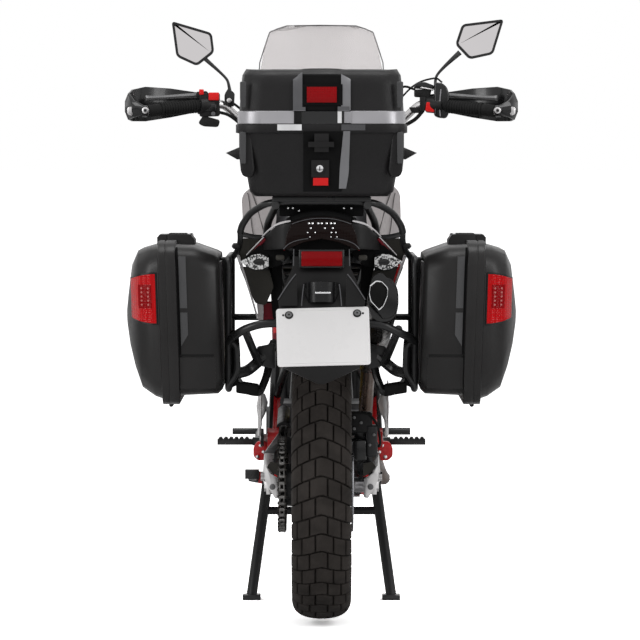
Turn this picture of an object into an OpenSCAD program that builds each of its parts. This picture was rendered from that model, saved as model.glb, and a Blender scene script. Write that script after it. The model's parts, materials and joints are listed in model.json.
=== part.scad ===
// Adventure motorcycle with three hard cases, parked upright on its centre stand.
// +Y is forward, +X is right, +Z is up. The floor is at z = 0.
// Inside the modules y is measured ahead of the rear axle; placed() moves it all to the middle.

/* [Wheels] */
// Distance between the two axles
wheelbase = 1430; // [1400:5:1460]
// Outer radius of the rear tyre
rear_r = 314; // [308:1:318]
// Width of the rear tyre
rear_w = 140; // [130:1:140]
// Outer radius of the front tyre
front_r = 329; // [324:1:333]
// Width of the front tyre
front_w = 110; // [100:1:110]
// Wire spokes in each wheel
spokes = 36; // [24:4:36]

/* [Stance] */
// How far the centre stand lifts the rear tyre off the floor
rear_lift = 12; // [6:1:20]
// How far the top case reaches behind the rear axle
tail_reach = 400; // [380:5:420]

/* [Steering] */
// Angle of the steering axis from upright, in degrees
rake = 26; // [24:0.5:28]
// Distance of the front axle ahead of the steering axis
fork_offset = 45; // [40:1:50]
// Half the distance between the fork legs
fork_x = 100; // [98:1:104]
// Half the width over the hand guards
guard_x = 491; // [470:1:500]

/* [Luggage] */
// Width of the top case
top_case_w = 386; // [370:2:410]
// Half the width over the side cases
side_case_x = 444; // [430:2:460]
// Thickness of the case walls
case_wall = 4; // [3:0.5:5]

/* [Hidden] */
$fn = 48;
gap = 0.3;
rear_axle_z = rear_r + rear_lift;
front_axle_z = front_r;
front_end = wheelbase + front_r;
mid_y = (front_end - tail_reach) / 2;

// The steering frame: origin level with the front axle on the steering axis
steer_y = wheelbase - fork_offset * cos(rake);
steer_z = front_axle_z - fork_offset * sin(rake);
head_low = 600;
upper_yoke = 745;
head_high = upper_yoke - 15;
gusset = head_low + 55;

// Place on the steering axis in the bike's own frame, and the top of the steering head
function steer_at(t) = [0, steer_y - t * sin(rake), steer_z + t * cos(rake)];
nose = steer_at(head_high);

pivot_y = 548;
pivot_z = 400;
frame_red = "firebrick";

// Vector and path helpers
function unit(v) = v / norm(v);
function lerp(a, b, t) = a + (b - a) * t;
function flip(p) = [-p.x, p.y, p.z];
function side(p, s) = [s * p.x, p.y, p.z];

// Arc of radius r that rounds the corner p between a and b
function corner_arc(a, p, b, r, step) =
    let (u = unit(p - a), v = unit(b - p), turn = acos(max(-1, min(1, u * v))))
    turn < 2 ? [p] :
    let (start = p - u * r * tan(turn / 2),
         c = p + unit(v - u) * r / cos(turn / 2),
         m = max(2, ceil(turn / step)))
    [for (i = [0 : m]) c + (start - c) * cos(turn * i / m) + u * r * sin(turn * i / m)];

function bend_path(pts, r, step) = concat([pts[0]],
    len(pts) < 3 ? [] :
    [for (i = [1 : len(pts) - 2]) each corner_arc(pts[i - 1], pts[i], pts[i + 1], r, step)],
    [pts[len(pts) - 1]]);

function path_dirs(p) = [for (i = [0 : len(p) - 1])
    unit((i < len(p) - 1 ? unit(p[i + 1] - p[i]) : [0, 0, 0])
        + (i > 0 ? unit(p[i] - p[i - 1]) : [0, 0, 0]))];

// Side vectors carried along the path without twist
function carried(d, i = 0, n = undef) =
    let (m = is_undef(n)
        ? unit(cross(d[0], abs(d[0].z) < 0.9 ? [0, 0, 1] : [1, 0, 0]))
        : unit(n - d[i] * (n * d[i])))
    i == len(d) - 1 ? [m] : concat([m], carried(d, i + 1, m));

// Closed skin over equal rings of points, listed along the way from first to last
module skin(rings) {
    n = len(rings[0]);
    k = len(rings);
    polyhedron([for (s = rings) each s], concat(
        [[for (j = [0 : n - 1]) j]],
        [for (i = [0 : k - 2], j = [0 : n - 1])
            [i * n + j, (i + 1) * n + j, (i + 1) * n + (j + 1) % n, i * n + (j + 1) % n]],
        [[for (j = [n - 1 : -1 : 0]) (k - 1) * n + j]]));
}

// Rings that wind one way on the right wind the other way on the left, so they turn round there
module handed_skin(s, rings) {
    skin(s > 0 ? rings : [for (r = rings) [for (i = [len(r) - 1 : -1 : 0]) r[i]]]);
}

// Bent tube through the given corners
module tube(pts, r, bend = 50, sides = 10, step = 15) {
    p = bend_path(pts, bend, step);
    d = path_dirs(p);
    m = carried(d);
    skin([for (i = [0 : len(p) - 1]) [for (j = [0 : sides - 1])
        let (a = 360 * (j + 0.5) / sides)
        p[i] + m[i] * r * cos(a) + cross(d[i], m[i]) * r * sin(a)]]);
}

// Straight round bar between two points
module rod(a, b, r, sides = 32) {
    v = b - a;
    translate(a)
        rotate([0, acos(v.z / norm(v)), atan2(v.y, v.x)])
            cylinder(h = norm(v), r = r, $fn = sides);
}

// Round bar along X
module bar_x(x0, x1, y, z, r, sides = 32) {
    translate([min(x0, x1), y, z]) rotate([0, 90, 0])
        cylinder(h = abs(x1 - x0), r = r, $fn = sides);
}

module box(x0, x1, y0, y1, z0, z1) {
    translate([x0, y0, z0]) cube([x1 - x0, y1 - y0, z1 - z0]);
}

// Ring of a rounded outline across the bike, clockwise from behind
function oval(y, w, z0, z1, e = 3, n = 16, x = 0) = [for (j = [0 : n - 1])
    let (a = 90 - 360 * (j + 0.5) / n, c = cos(a), s = sin(a))
    [x + w / 2 * sign(c) * pow(abs(c), 2 / e), y,
        (z0 + z1) / 2 + (z1 - z0) / 2 * sign(s) * pow(abs(s), 2 / e)]];

// Ring of a rounded rectangle seen from above, at height z
function plan(z, x0, x1, y0, y1, r, n = 4) = [for (q = [0 : 3], i = [0 : n - 1])
    let (a = 90 * q + 90 * i / (n - 1),
         cx = q == 0 || q == 3 ? x1 - r : x0 + r,
         cy = q < 2 ? y1 - r : y0 + r)
    [cx + r * cos(a), cy + r * sin(a), z]];

// Ring of a rounded rectangle seen from the side, at a distance x from the middle
function side_plan(x, y0, y1, z0, z1, r, n = 4) = [for (q = [0 : 3], i = [0 : n - 1])
    let (a = 90 * q + 90 * i / (n - 1),
         cy = q == 0 || q == 3 ? y1 - r : y0 + r,
         cz = q < 2 ? z1 - r : z0 + r)
    [x, cy + r * cos(a), cz + r * sin(a)]];

module placed() {
    translate([0, -mid_y, 0]) children();
}

module on_steering() {
    translate([0, steer_y, steer_z]) rotate([rake, 0, 0]) children();
}

module at_rear_axle() {
    translate([0, 0, rear_axle_z]) children();
}

module at_front_axle() {
    translate([0, wheelbase, front_axle_z]) children();
}

// Solid of revolution about X from an outline of [radius, x] points
module turned(outline) {
    rotate([0, 90, 0]) rotate_extrude($fn = 64) polygon(outline);
}

// Frame
tube_r = 14;
rail_r = 11;
pivot_x = 128;
lug_x = 142;
cross_y = 960;
cross_z = 836;
cradle_z = 262;
seat_node = [112, 700, 788];
shock_bar = [0, 632, 690];

module frame_side(s) {
    tube([steer_at(gusset) + [s * 18, 0, 0], side([70, cross_y, cross_z - 4], s),
        side(seat_node, s), side([117, 592, 640], s), side([pivot_x, pivot_y, pivot_z], s)], tube_r);
    tube([steer_at(gusset) + [s * 16, -10, -14], side([46, nose.y - 11, 790], s),
        side([72, nose.y - 17, 430], s), side([95, nose.y - 69, cradle_z], s),
        side([110, 600, cradle_z], s), side([pivot_x, pivot_y, pivot_z], s)], tube_r - 1);
    tube([side(seat_node, s), side([110, 300, 818], s), side([105, -60, 850], s),
        side([82, -205, 860], s)], rail_r);
    tube([side([120, 566, 500], s), side([82, 430, 590], s), side([82, 60, 770], s),
        side([104, -30, 847], s)], 10);
    bar_x(s * 114, s * lug_x, pivot_y, pivot_z, 24);
    hull() {
        bar_x(s * 114, s * 120.5, pivot_y - 12, pivot_z - 30, 14);
        bar_x(s * 107, s * 120.5, stand_y, stand_z, 15);
    }
    hull() {
        bar_x(s * 14, s * 22, shock_bar.y, shock_bar.z, 12);
        bar_x(s * 14, s * 22, shock_high.y, shock_high.z, 12);
    }
}

module frame() {
    color(frame_red) difference() {
        union() {
            on_steering() {
                translate([0, 0, head_low]) cylinder(h = head_high - head_low, r = 28);
                translate([-18, 20, gusset]) cube([36, 126, 34]);
            }
            translate(nose) box(-30, 30, 149, beak_back - gap, 13, 37);
            for (s = [-1, 1]) frame_side(s);
            bar_x(-115, 115, shock_bar.y, shock_bar.z, 12);
            bar_x(-22, 22, shock_high.y, shock_high.z, 6);
            bar_x(-70, 70, cross_y, cross_z, 10);
            bar_x(-110, 110, seat_node.y + 20, seat_node.z + 3, 10);
            bar_x(-110, 110, 300, 818, 9);
            bar_x(-106, 106, 60, 839, 9);
            bar_x(-84, 84, -190, 858, 8);
            bar_x(-108, 108, 640, cradle_z, 11);
            translate(side_pivot) rotate_to(side_axis) cylinder(h = 50, r = 15);
        }
        on_steering() translate([0, 0, head_low - 1])
            cylinder(h = head_high - head_low + 2, r = 19);
        bar_x(-150, 150, pivot_y, pivot_z, 9 + gap);
        bar_x(-130, 130, stand_y, stand_z, 8 + gap);
        translate(side_pivot) rotate_to(side_axis) translate([0, 0, -1])
            cylinder(h = 30, r = 6 + gap);
    }
}

// Swingarm, rear axle and rear caliper
axle_r = 10;
// Threaded bosses for a paddock stand's bobbins
boss_x = 143;
boss_y = 70;
boss_z = 341;
boss_hole_r = 4;
boss_depth = 14;

module arm(s) {
    x0 = s > 0 ? 76 : -98;
    x1 = s > 0 ? 113 : -137;
    x2 = s > 0 ? 115 : -139;
    hull() {
        translate([x0, 520, 378]) cube([22, 25, 44]);
        translate([x1, 205, 335]) cube([24, 20, 50]);
    }
    hull() {
        translate([x1, 205, 335]) cube([24, 20, 50]);
        translate([x2, -38, 306]) cube([24, 20, 42]);
    }
}

module swingarm() {
    color("silver") difference() {
        union() {
            for (s = [-1, 1]) {
                arm(s);
                bar_x(s * 125, s * boss_x, boss_y, boss_z, 11);
                rod([s * 127, -36, rear_axle_z], [s * 127, -56, rear_axle_z], 5);
                rod([s * 127, -46, rear_axle_z], [s * 127, -54, rear_axle_z], 10, 6);
                bar_x(s * 138, s * 150, 0, rear_axle_z, 16, 6);
            }
            box(-92, 92, 400, 450, 372, 409);
            bar_x(-112, 112, pivot_y, pivot_z, 21);
            bar_x(-142, 142, pivot_y, pivot_z, 9);
            bar_x(-152, -142, pivot_y, pivot_z, 14, 6);
            bar_x(142, 152, pivot_y, pivot_z, 14, 6);
            bar_x(-140, 140, 0, rear_axle_z, axle_r);
            bar_x(76, 116, 0, rear_axle_z, 18);
            bar_x(-116, -100, 0, rear_axle_z, 18);
            for (s = [-1, 1]) box(s > 0 ? 14 : -22, s > 0 ? 22 : -14, 408, 442, 408, 440);
            bar_x(-22, 22, shock_low.y, shock_low.z, 6);
        }
        for (s = [-1, 1])
            bar_x(s * (boss_x - boss_depth), s * (boss_x + 1), boss_y, boss_z, boss_hole_r);
    }
    color("dimgray") rear_caliper();
}

// Caliper over the rear disc, on a bracket from the right arm
module rear_caliper() {
    difference() {
        union() {
            box(56, 128, -10, 62, 398, 462);
            box(84, 122, 12, 40, 348, 400);
        }
        box(68, 77, -12, 64, 390, 442);
    }
}

// Engine: crankcase, covers, finned cylinder and head
module crankcase_outline() {
    polygon([[668, 310], [700, 290], [930, 290], [965, 330], [960, 420], [890, 476],
        [668, 476]]);
}

cylinder_lean = 20;
cylinder_foot = [0, 900, 470];
// Where the exhaust leaves the head
port = cylinder_foot + [0, 80 * cos(cylinder_lean) + 140 * sin(cylinder_lean) + gap,
    140 * cos(cylinder_lean) - 80 * sin(cylinder_lean)];

module engine() {
    color("gray") {
        rotate([90, 0, 90]) translate([0, 0, -95]) linear_extrude(190) crankcase_outline();
        box(-74, 95, 600, 670, 330, 462);
        bar_x(94, 150, 800, 396, 76, 48);
        bar_x(-140, -94, 890, 384, 72, 48);
        bar_x(-103, -70, front_sprocket_y, front_sprocket_z,
            front_sprocket_r - plate_h / 2 - gap);
        box(-124, -94, 690, 730, 350, 450);
        hull() {
            bar_x(-124, -114, 640, 400, 46);
            bar_x(-124, -114, 710, 400, 46);
        }
        translate(cylinder_foot) rotate([-cylinder_lean, 0, 0]) {
            translate([-55, -55, -20]) cube([110, 110, 150]);
            for (i = [0 : 6]) translate([-68, -66, 14 + 15 * i]) cube([136, 132, 5]);
            translate([-62, -66, 120]) cube([124, 132, 76]);
            translate([0, 70, 140]) rotate([-90, 0, 0]) cylinder(h = 10, r = 22);
        }
        for (s = [-1, 1], y = [740, 920])
            box(s > 0 ? 80 : -108, s > 0 ? 108 : -80, y, y + 26, 275.6, 300);
    }
}

// Exhaust: header from the head's front to the raised muffler on the right
muffler_front = [141, 230, 626];
muffler_rear = [141, -232, 768];
muffler_w = 70;
muffler_h = 106;

// Rounded outline about the origin, w across and h high
function rounded_outline(w, h, e, n) = [for (i = [0 : n - 1])
    let (a = 360 * (i + 0.5) / n, c = cos(a), s = sin(a))
    [w / 2 * sign(c) * pow(abs(c), 2 / e), h / 2 * sign(s) * pow(abs(s), 2 / e)]];

// Along the muffler from its rear end: +Z runs forward and +Y down
module at_muffler(back = 0) {
    v = muffler_front - muffler_rear;
    translate(muffler_rear - unit(v) * back) rotate([atan2(v.z, v.y) - 90, 0, 0]) children();
}

module exhaust() {
    color("sienna") tube([port, port + [0, 30, -11], [26, 1038, 490], [66, 1000, 420],
        [134, 985, 330], [152, 900, 280], [156, 640, 292], [158, 532, 342], [134, 452, 446],
        muffler_front + [0, 10, -3]], 17, 28, 12);
    length = norm(muffler_front - muffler_rear);
    color("dimgray") difference() {
        union() {
            at_muffler() linear_extrude(length)
                polygon(rounded_outline(muffler_w, muffler_h, 2.4, 24));
            at_muffler(2 - length) linear_extrude(20)
                polygon(rounded_outline(muffler_w - 16, muffler_h - 34, 2.4, 24));
            at_muffler(4 - length) cylinder(h = 46, r = 24);
            box(116.4, 121.4, -72, -48, 716, 858);
        }
        at_muffler(5) cylinder(h = 60, r = 24);
    }
}

// Underside of the tank: clear of the backbone, resting on its cross tubes
function tank_floor(y) = cross_z + 10 + gap + (y > cross_y ? 0.5 : 0.179) * (y - cross_y);

module fuel_tank() {
    color("dimgray") skin([for (r = [[690, 190, 900], [712, 240, 950], [760, 282, 988],
        [850, 300, 1008], [900, 290, 1006], [936, 262, 990], [nose.y - 79, 200, 950],
        [nose.y - 34, 130, 916]])
        oval(r[0], r[1], tank_floor(r[0]), r[2])]);
    color("silver") translate([0, 850, 1000]) cylinder(h = 16, r = 34);
}

// White shroud beside the tank
module shroud(s) {
    rings = [for (r = [
        [820, 148.1, 12, 876, 960], [880, 148.1, 34, 862, 996], [960, 152, 50, 850, 1010],
        [1040, 156, 48, 852, 1004], [nose.y + 50, 158, 34, 880, 990],
        [nose.y + 90, 158, 14, 920, 976]])
        oval(r[0], r[2], r[3], r[4], 3, 12, s * (r[1] + r[2] / 2))];
    skin(rings);
}

// Side cowl below the seat: a sheet folded along its outer edge
module side_cowl(s) {
    t = 6;
    // y, then inner top, outer edge and lower edge, each as x and z
    rows = [[-150, [96, 916], [150, 862], [118, 812]], [-40, [98, 920], [176, 852], [126, 790]],
        [60, [116, 914], [185, 851], [131, 762]], [100, [139.9, 894], [186, 850], [132, 750]],
        [300, [139.9, 874], [178, 838], [132, 726]], [480, [128, 850], [150, 818], [134, 736]]];
    rings = [for (r = rows) let (a = r[1], b = r[2], c = r[3])
        [[b.x - 1.6 * t, r[0], b.y - 1], [a.x, r[0], a.y - t], [a.x, r[0], a.y],
            [b.x, r[0], b.y], [c.x + t, r[0], c.y], [c.x, r[0], c.y]]];
    handed_skin(s, [for (r = rings) [for (p = r) side(p, s)]]);
}

module body_panels() {
    color("whitesmoke") for (s = [-1, 1]) {
        shroud(s);
        side_cowl(s);
    }
}

// Underside of the seat, resting on the rear frame's cross tubes
function seat_floor(y) = 827.4 + 0.0875 * (300 - y);

module seat() {
    color("#222222") skin([for (r = [[-20, 150, 906], [10, 190, 930], [120, 230, 936],
        [330, 236, 926], [400, 232, 892], [470, 230, 856], [600, 216, 848], [689.7, 170, 862]])
        oval(r[0], r[1], seat_floor(r[0]), r[2])]);
}

// Black tail above the lamp
module tail_fairing() {
    color("#1c1c1c") skin([oval(-262, 150, 876, 960, 4), oval(-235, 168, 868, 964, 4),
        oval(-190, 172, 866 + gap, 964, 4), oval(-120, 176, 868, 964, 4),
        oval(-24, 168, 872, 964, 4)]);
}

module tail_light() {
    color("dimgray") translate([0, -262 - gap, 0]) rotate([90, 0, 0]) linear_extrude(20)
        polygon([[-86, 880], [-80, 916], [-67, 946], [-40, 957], [0, 961], [40, 957], [67, 946],
            [80, 916], [86, 880], [40, 899], [0, 907], [-40, 899]]);
    color("red") on_sheet(0) translate([-47, -10, 0]) cube([94, 32, 12]);
}

// Mudguard, plate carrier and flap, as a bent sheet: y, z and half-width down its rear face
sheet_rows = [[-266, 868, 66], [-271, 840, 67], [-322, 768, 98], [-331, 750, 96],
    [-388, 620, 86], [-396, 584, 8]];
sheet_t = 6;

function sheet_dir(i) = let (a = sheet_rows[i], b = sheet_rows[i + 1])
    unit([b[0] - a[0], b[1] - a[1]]);

// Frame on the rear face of one stretch of the sheet: +Y runs down it, -Z out of it
module on_sheet(i, lift = 12) {
    d = sheet_dir(i);
    translate([0, sheet_rows[i][0] + d.y * (lift + gap), sheet_rows[i][1] - d.x * (lift + gap)])
        rotate([atan2(d.y, d.x), 0, 0]) children();
}

module rear_mudguard() {
    color("#1c1c1c") box(-60, 60, -265, -184, 843, 850 - gap);
    color("#1c1c1c") skin([for (i = [0 : len(sheet_rows) - 1])
        let (r = sheet_rows[i], d = unit((i > 0 ? sheet_dir(i - 1) : [0, 0])
                + (i < len(sheet_rows) - 1 ? sheet_dir(i) : [0, 0])),
             y = r[0] - d.y * sheet_t, z = r[1] + d.x * sheet_t)
        [[-r[2], y, z], [r[2], y, z], [r[2], r[0], r[1]], [-r[2], r[0], r[1]]]]);
}

module number_plate() {
    color("white") on_sheet(3, 2) translate([-105, -2, 0]) cube([210, 140, 2]);
}

// Lamp on a stalk: leaf outline from behind
module leaf(s, y, z, x0, x1, h) {
    skin([for (r = [[y - 14, 0.6], [y - 8, 1], [y + 12, 0.9], [y + 20, 0.4]])
        [for (p = [[0, 0.5], [0.55, 0.42], [1, 0], [0.6, -0.5], [0, -0.5]])
            [s * (x0 + (x1 - x0) * p[0] * r[1]), r[0], z + h * p[1] * r[1]]]]);
}

module indicators() {
    color("orange") for (m = [0, 1]) mirror([m, 0, 0]) {
        leaf(1, -198, 852, 122, 184, 38);
        bar_x(96.5, 124, -190, 852, 7);
        translate(nose) {
            leaf(1, 131, 135, 176, 250, 34);
            bar_x(132.8, 178, 135, 135, 8);
        }
    }
}

// Racks: rails and arch under the top case, its plate, and the side frames
rack_x = 213.5;
rack_y = [-190, 180];
rack_z = [560, 860];
rack_top = 1004;
rack_tube = 9;
rail_x = 104;
rail_z = rack_top - 12 - rack_tube + 1;

module luggage_racks() {
    color("#161616") {
        for (s = [-1, 1]) {
            tube([side([130.6, 200, 828], s), side([130.6, 190, 930], s),
                side([rail_x, 110, rail_z], s), side([rail_x, -322, rail_z], s)], rack_tube, 40);
            tube([side([rack_x, -60, rack_z[1]], s), side([rack_x, rack_y[1], rack_z[1]], s),
                side([rack_x, rack_y[1], 640], s), side([rack_x, 100, rack_z[0]], s),
                side([rack_x, rack_y[0], rack_z[0]], s), side([rack_x, rack_y[0], rack_z[1]], s),
                side([rack_x, -50, rack_z[1]], s)], 8, 40);
            bar_x(s * 92.5, s * rack_x, rack_y[1], 711.6, 8);
        }
        tube([[-rack_x, -120, rack_z[1]], [-rack_x + 6, -210, 872], [-172, -280, 948],
            [-112, -316, rail_z], [112, -316, rail_z], [172, -280, 948],
            [rack_x - 6, -210, 872], [rack_x, -120, rack_z[1]]], rack_tube, 36);
        tube([[-rack_x, rack_y[0], 668], [-150, rack_y[0] - 38, 668], [150, rack_y[0] - 38, 668],
            [rack_x, rack_y[0], 668]], 8, 40);
        difference() {
            box(-112, 112, -325, -20, rack_top - 12, rack_top);
            for (y = [-270, -180, -90]) box(-70, 70, y, y + 60, rack_top - 13, rack_top + 1);
        }
    }
}

// Hard top case: [height, inset at the sides, rear and front, corner radius]
case_joint = 1166;
case_floor = rack_top + gap;
top_base_rows = [[case_floor, 43, 46, 26, 34], [1015, 31, 32, 20, 40], [1060, 23, 22, 12, 46],
    [1146, 7, 8, 6, 50], [1147.5, 0, 0, 0, 54], [case_joint, 0, 0, 0, 54]];
top_lid_rows = [[case_joint + gap, 2, 2, 2, 53], [1168, 4, 4, 4, 52], [1195, 4, 4, 4, 52],
    [1196.5, 8, 8, 8, 50], [1250, 12, 11, 11, 50], [1270, 18, 17, 16, 50],
    [1280, 27, 26, 25, 48], [1284, 44, 44, 42, 44]];
top_base_hollow = [[case_floor + 5, 48, 51, 31, 30], [1019, 35, 36, 24, 36],
    [1060, 27, 26, 16, 42], [1146, 12, 13, 11, 46], [case_joint + 2, 11, 12, 11, 46]];
top_lid_hollow = [[case_joint - 2, 11, 12, 11, 46], [1197, 13, 13, 13, 45],
    [1250, 16, 15, 15, 46], [1266, 22, 21, 20, 46], [1275, 31, 30, 29, 44],
    [1280, 50, 50, 48, 40]];

module top_case_shell(rows) {
    w = top_case_w / 2;
    skin([for (r = rows) plan(r[0], r[1] - w, w - r[1], r[2] - tail_reach, -r[3], r[4])]);
}

// Hinge at the front of the case, level with the joint
top_hinge_y = 7;
top_hinge_z = case_joint - 3;
top_hinge_x = 60;

module top_case_base() {
    color("#262626") {
        difference() {
            top_case_shell(top_base_rows);
            top_case_shell(top_base_hollow);
        }
        bar_x(-top_hinge_x, top_hinge_x, top_hinge_y, top_hinge_z, 5);
        box(-top_hinge_x, top_hinge_x, -1, top_hinge_y, top_hinge_z - 14, top_hinge_z - 4);
        // Lock housing below the joint
        box(-16, 16, -tail_reach, -tail_reach + 16, 1104, 1146);
    }
}

module top_case_lid() {
    color("#262626") {
        difference() {
            top_case_shell(top_lid_rows);
            top_case_shell(top_lid_hollow);
        }
        for (s = [-1, 1]) {
            bar_x(s * (top_hinge_x + 1), s * (top_hinge_x + 30), top_hinge_y, top_hinge_z, 6);
            box(s > 0 ? top_hinge_x + 1 : -top_hinge_x - 30,
                s > 0 ? top_hinge_x + 30 : -top_hinge_x - 1,
                -8, top_hinge_y + 1, case_joint + gap, case_joint + 14);
        }
    }
}

// Hard side cases, s is 1 on the right and -1 on the left. Rings run outwards:
// [x, inset at the lower edge, upper edge and both ends, corner radius]
side_joint = 346;
side_y = [-280, 220];
side_z = [528, 906];
side_back = rack_x + 8 + gap;
side_base_rows = [[226, 34, 34, 32, 34], [236, 24, 28, 20, 44], [283, 22, 11, 12, 50],
    [322, 20, 9, 10, 52], [324, 0, 0, 0, 54], [side_joint, 0, 0, 0, 54]];
side_lid_rows = [[side_joint + gap, 0, 0, 0, 54], [362, 0, 0, 0, 54], [364, 13, 11, 8, 54],
    [side_case_x - 65, 18, 13, 10, 56], [side_case_x - 34, 38, 22, 24, 62],
    [side_case_x - 17, 84, 56, 60, 66], [side_case_x - 6, 128, 116, 112, 58],
    [side_case_x, 180, 160, 158, 16]];
side_base_hollow = [[230, 40, 40, 38, 30], [240, 29, 33, 25, 40], [283, 26, 15, 16, 46],
    [side_joint + 2, 25, 15, 15, 46]];
side_lid_hollow = [[side_joint - 2, 25, 15, 15, 46], [side_case_x - 69, 23, 17, 15, 50],
    [side_case_x - 38, 43, 27, 29, 58], [side_case_x - 21, 89, 61, 65, 60],
    [side_case_x - 10, 133, 121, 117, 52], [side_case_x - 4, 184, 164, 162, 12]];
side_latch_z = 919;
side_latch_y = [-90, 30];

module side_case_shell(s, rows) {
    handed_skin(s, [for (r = rows) side_plan(s * r[0], side_y[0] + r[3], side_y[1] - r[3],
        side_z[0] + r[1], side_z[1] - r[2], r[4])]);
}

// Part of the latch over the joint, from its outline across the bike
module side_latch(s, outline) {
    translate([0, side_latch_y[1], 0]) rotate([90, 0, 0])
        linear_extrude(side_latch_y[1] - side_latch_y[0])
            polygon([for (p = outline) [s * p.x, p.y]]);
}

// Hinge barrel along the lower edge of the joint
side_hinge_x = side_joint + gap / 2;
side_hinge_z = side_z[0] - 6;

module hinge_part(s, y0, y1, x0, x1) {
    translate([s * side_hinge_x, y0, side_hinge_z]) rotate([-90, 0, 0])
        cylinder(h = y1 - y0, r = 5);
    box(min(s * x0, s * x1), max(s * x0, s * x1), y0, y1, side_hinge_z, side_z[0] + 1);
}

module side_case_base(s) {
    color("#1e1e1e") {
        difference() {
            side_case_shell(s, side_base_rows);
            side_case_shell(s, side_base_hollow);
        }
        box(s > 0 ? side_back : -227, s > 0 ? 227 : -side_back, -190, 180, 580, 857);
        side_latch(s, [[283, 890], [283, 906], [292, side_latch_z], [side_joint, side_latch_z],
            [side_joint, 900], [324, 900], [318, 890]]);
        for (y = [-150, 30]) hinge_part(s, y, y + 60, side_hinge_x - 5, side_joint);
    }
}

module side_case_lid(s) {
    color("#1e1e1e") {
        difference() {
            side_case_shell(s, side_lid_rows);
            side_case_shell(s, side_lid_hollow);
        }
        side_latch(s, [[side_joint + 1, 902], [side_joint + 1, side_latch_z],
            [364, side_latch_z], [370, 912], [370, 890], [363, 890], [359, 902]]);
        for (y = [-90, 90]) hinge_part(s, y + gap, y + 60, side_joint + gap, side_hinge_x + 5);
    }
}

module left_case_base() { side_case_base(-1); }
module right_case_base() { side_case_base(1); }
module left_case_lid() { side_case_lid(-1); }
module right_case_lid() { side_case_lid(1); }

// Rear spring and damper
shock_low = [0, 425, 424];
shock_high = [0, 602, 672];

module rear_shock() {
    d = unit(shock_high - shock_low);
    color("gold") rod(shock_low + d * 50, shock_high - d * 50, 34);
    color("silver") difference() {
        union() {
            rod(shock_low, shock_high, 12);
            for (p = [shock_low, shock_high]) bar_x(-13.5, 13.5, p.y, p.z, 14);
        }
        for (p = [shock_low, shock_high]) bar_x(-20, 20, p.y, p.z, 6 + gap);
    }
}

// Chain: two rows of waisted plates round both sprockets, with the rollers as a core on the runs
chain_x = -92;
chain_pitch = 15.875;
rear_teeth = 42;
front_teeth = 15;
links = 108;
plate_h = 14.6;
plate_waist = 11;
plate_t = 7;
plate_x = [-11, 4];

function pitch_r(teeth) = chain_pitch / (2 * sin(180 / teeth));

sprocket_r = pitch_r(rear_teeth);
front_sprocket_r = pitch_r(front_teeth);
front_sprocket_y = 622;
front_sprocket_z = 400;

// Side view: both centres, the angle of the line between them and the angle of the straight runs
front_centre = [front_sprocket_y, front_sprocket_z];
rear_centre = [0, rear_axle_z];
chain_tilt = atan2(front_sprocket_z - rear_axle_z, front_sprocket_y);
chain_spread = asin((sprocket_r - front_sprocket_r) / norm(front_centre - rear_centre));
front_turn = 180 - 2 * chain_spread;
rear_turn = 180 + 2 * chain_spread;
run_length = norm(front_centre - rear_centre) * cos(chain_spread);
front_arc = front_sprocket_r * front_turn * PI / 180;
rear_arc = sprocket_r * rear_turn * PI / 180;
loop_length = 2 * run_length + front_arc + rear_arc;

function round_point(c, r, a, off) = c + (r + off) * [cos(a), sin(a)];

// Point at distance d along the pitch line, moved off it outwards
function loop_point(d, off) =
    let (a0 = chain_tilt - 90 + chain_spread, a1 = chain_tilt + 90 - chain_spread)
    d < front_arc ? round_point(front_centre, front_sprocket_r, a0 + front_turn * d / front_arc, off) :
    d < front_arc + run_length ?
        lerp(round_point(front_centre, front_sprocket_r, a1, off),
            round_point(rear_centre, sprocket_r, a1, off), (d - front_arc) / run_length) :
    d < front_arc + run_length + rear_arc ?
        round_point(rear_centre, sprocket_r,
            a1 + rear_turn * (d - front_arc - run_length) / rear_arc, off) :
    lerp(round_point(rear_centre, sprocket_r, a0, off),
        round_point(front_centre, front_sprocket_r, a0, off),
        (d - front_arc - run_length - rear_arc) / run_length);

// Edge of the row of plates: full height at each pin, waisted between two pins
function plate_edge(side) = [for (i = [0 : 2 * links - 1])
    loop_point(loop_length * i / (2 * links), side * (i % 2 == 0 ? plate_h : plate_waist) / 2)];

module chain() {
    color("darkslategray") rotate([90, 0, 90]) translate([0, 0, chain_x]) {
        for (x = plate_x) translate([0, 0, x]) linear_extrude(plate_t) difference() {
            polygon(plate_edge(1));
            polygon(plate_edge(-1));
        }
        for (start = [front_arc, front_arc + run_length + rear_arc])
            translate([0, 0, plate_x[0] + 1]) linear_extrude(20)
                polygon([for (q = [[46, -4], [46, 4], [run_length - 46, 4], [run_length - 46, -4]])
                    loop_point(start + q[0], q[1])]);
    }
}

module radiator() {
    color("#222222") {
        box(-110, 110, nose.y - 57, nose.y - 33, 645, 790);
        for (x = [-68, 50]) box(x, x + 18, nose.y - 34, nose.y - 26.7, 650, 664);
    }
}

module skid_plate() {
    t = 4;
    plate_z = cradle_z - tube_r + 1 - 0.4;
    color("dimgray") rotate([90, 0, 90]) translate([0, 0, -96]) linear_extrude(192)
        polygon([[640, plate_z], [nose.y - 84, plate_z], [nose.y - 50, 268], [nose.y - 18, 352],
            [nose.y - 14, 351], [nose.y - 47, 265], [nose.y - 82, plate_z - t],
            [640, plate_z - t]]);
}

peg_y = 612;
peg_z = 388;
peg_in = 171;
peg_out = 258;

// Toothed pegs on red hangers, gear lever on the left and brake pedal on the right
peg_teeth = 6;
lever_y = 775;
lever_in = 160;

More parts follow.
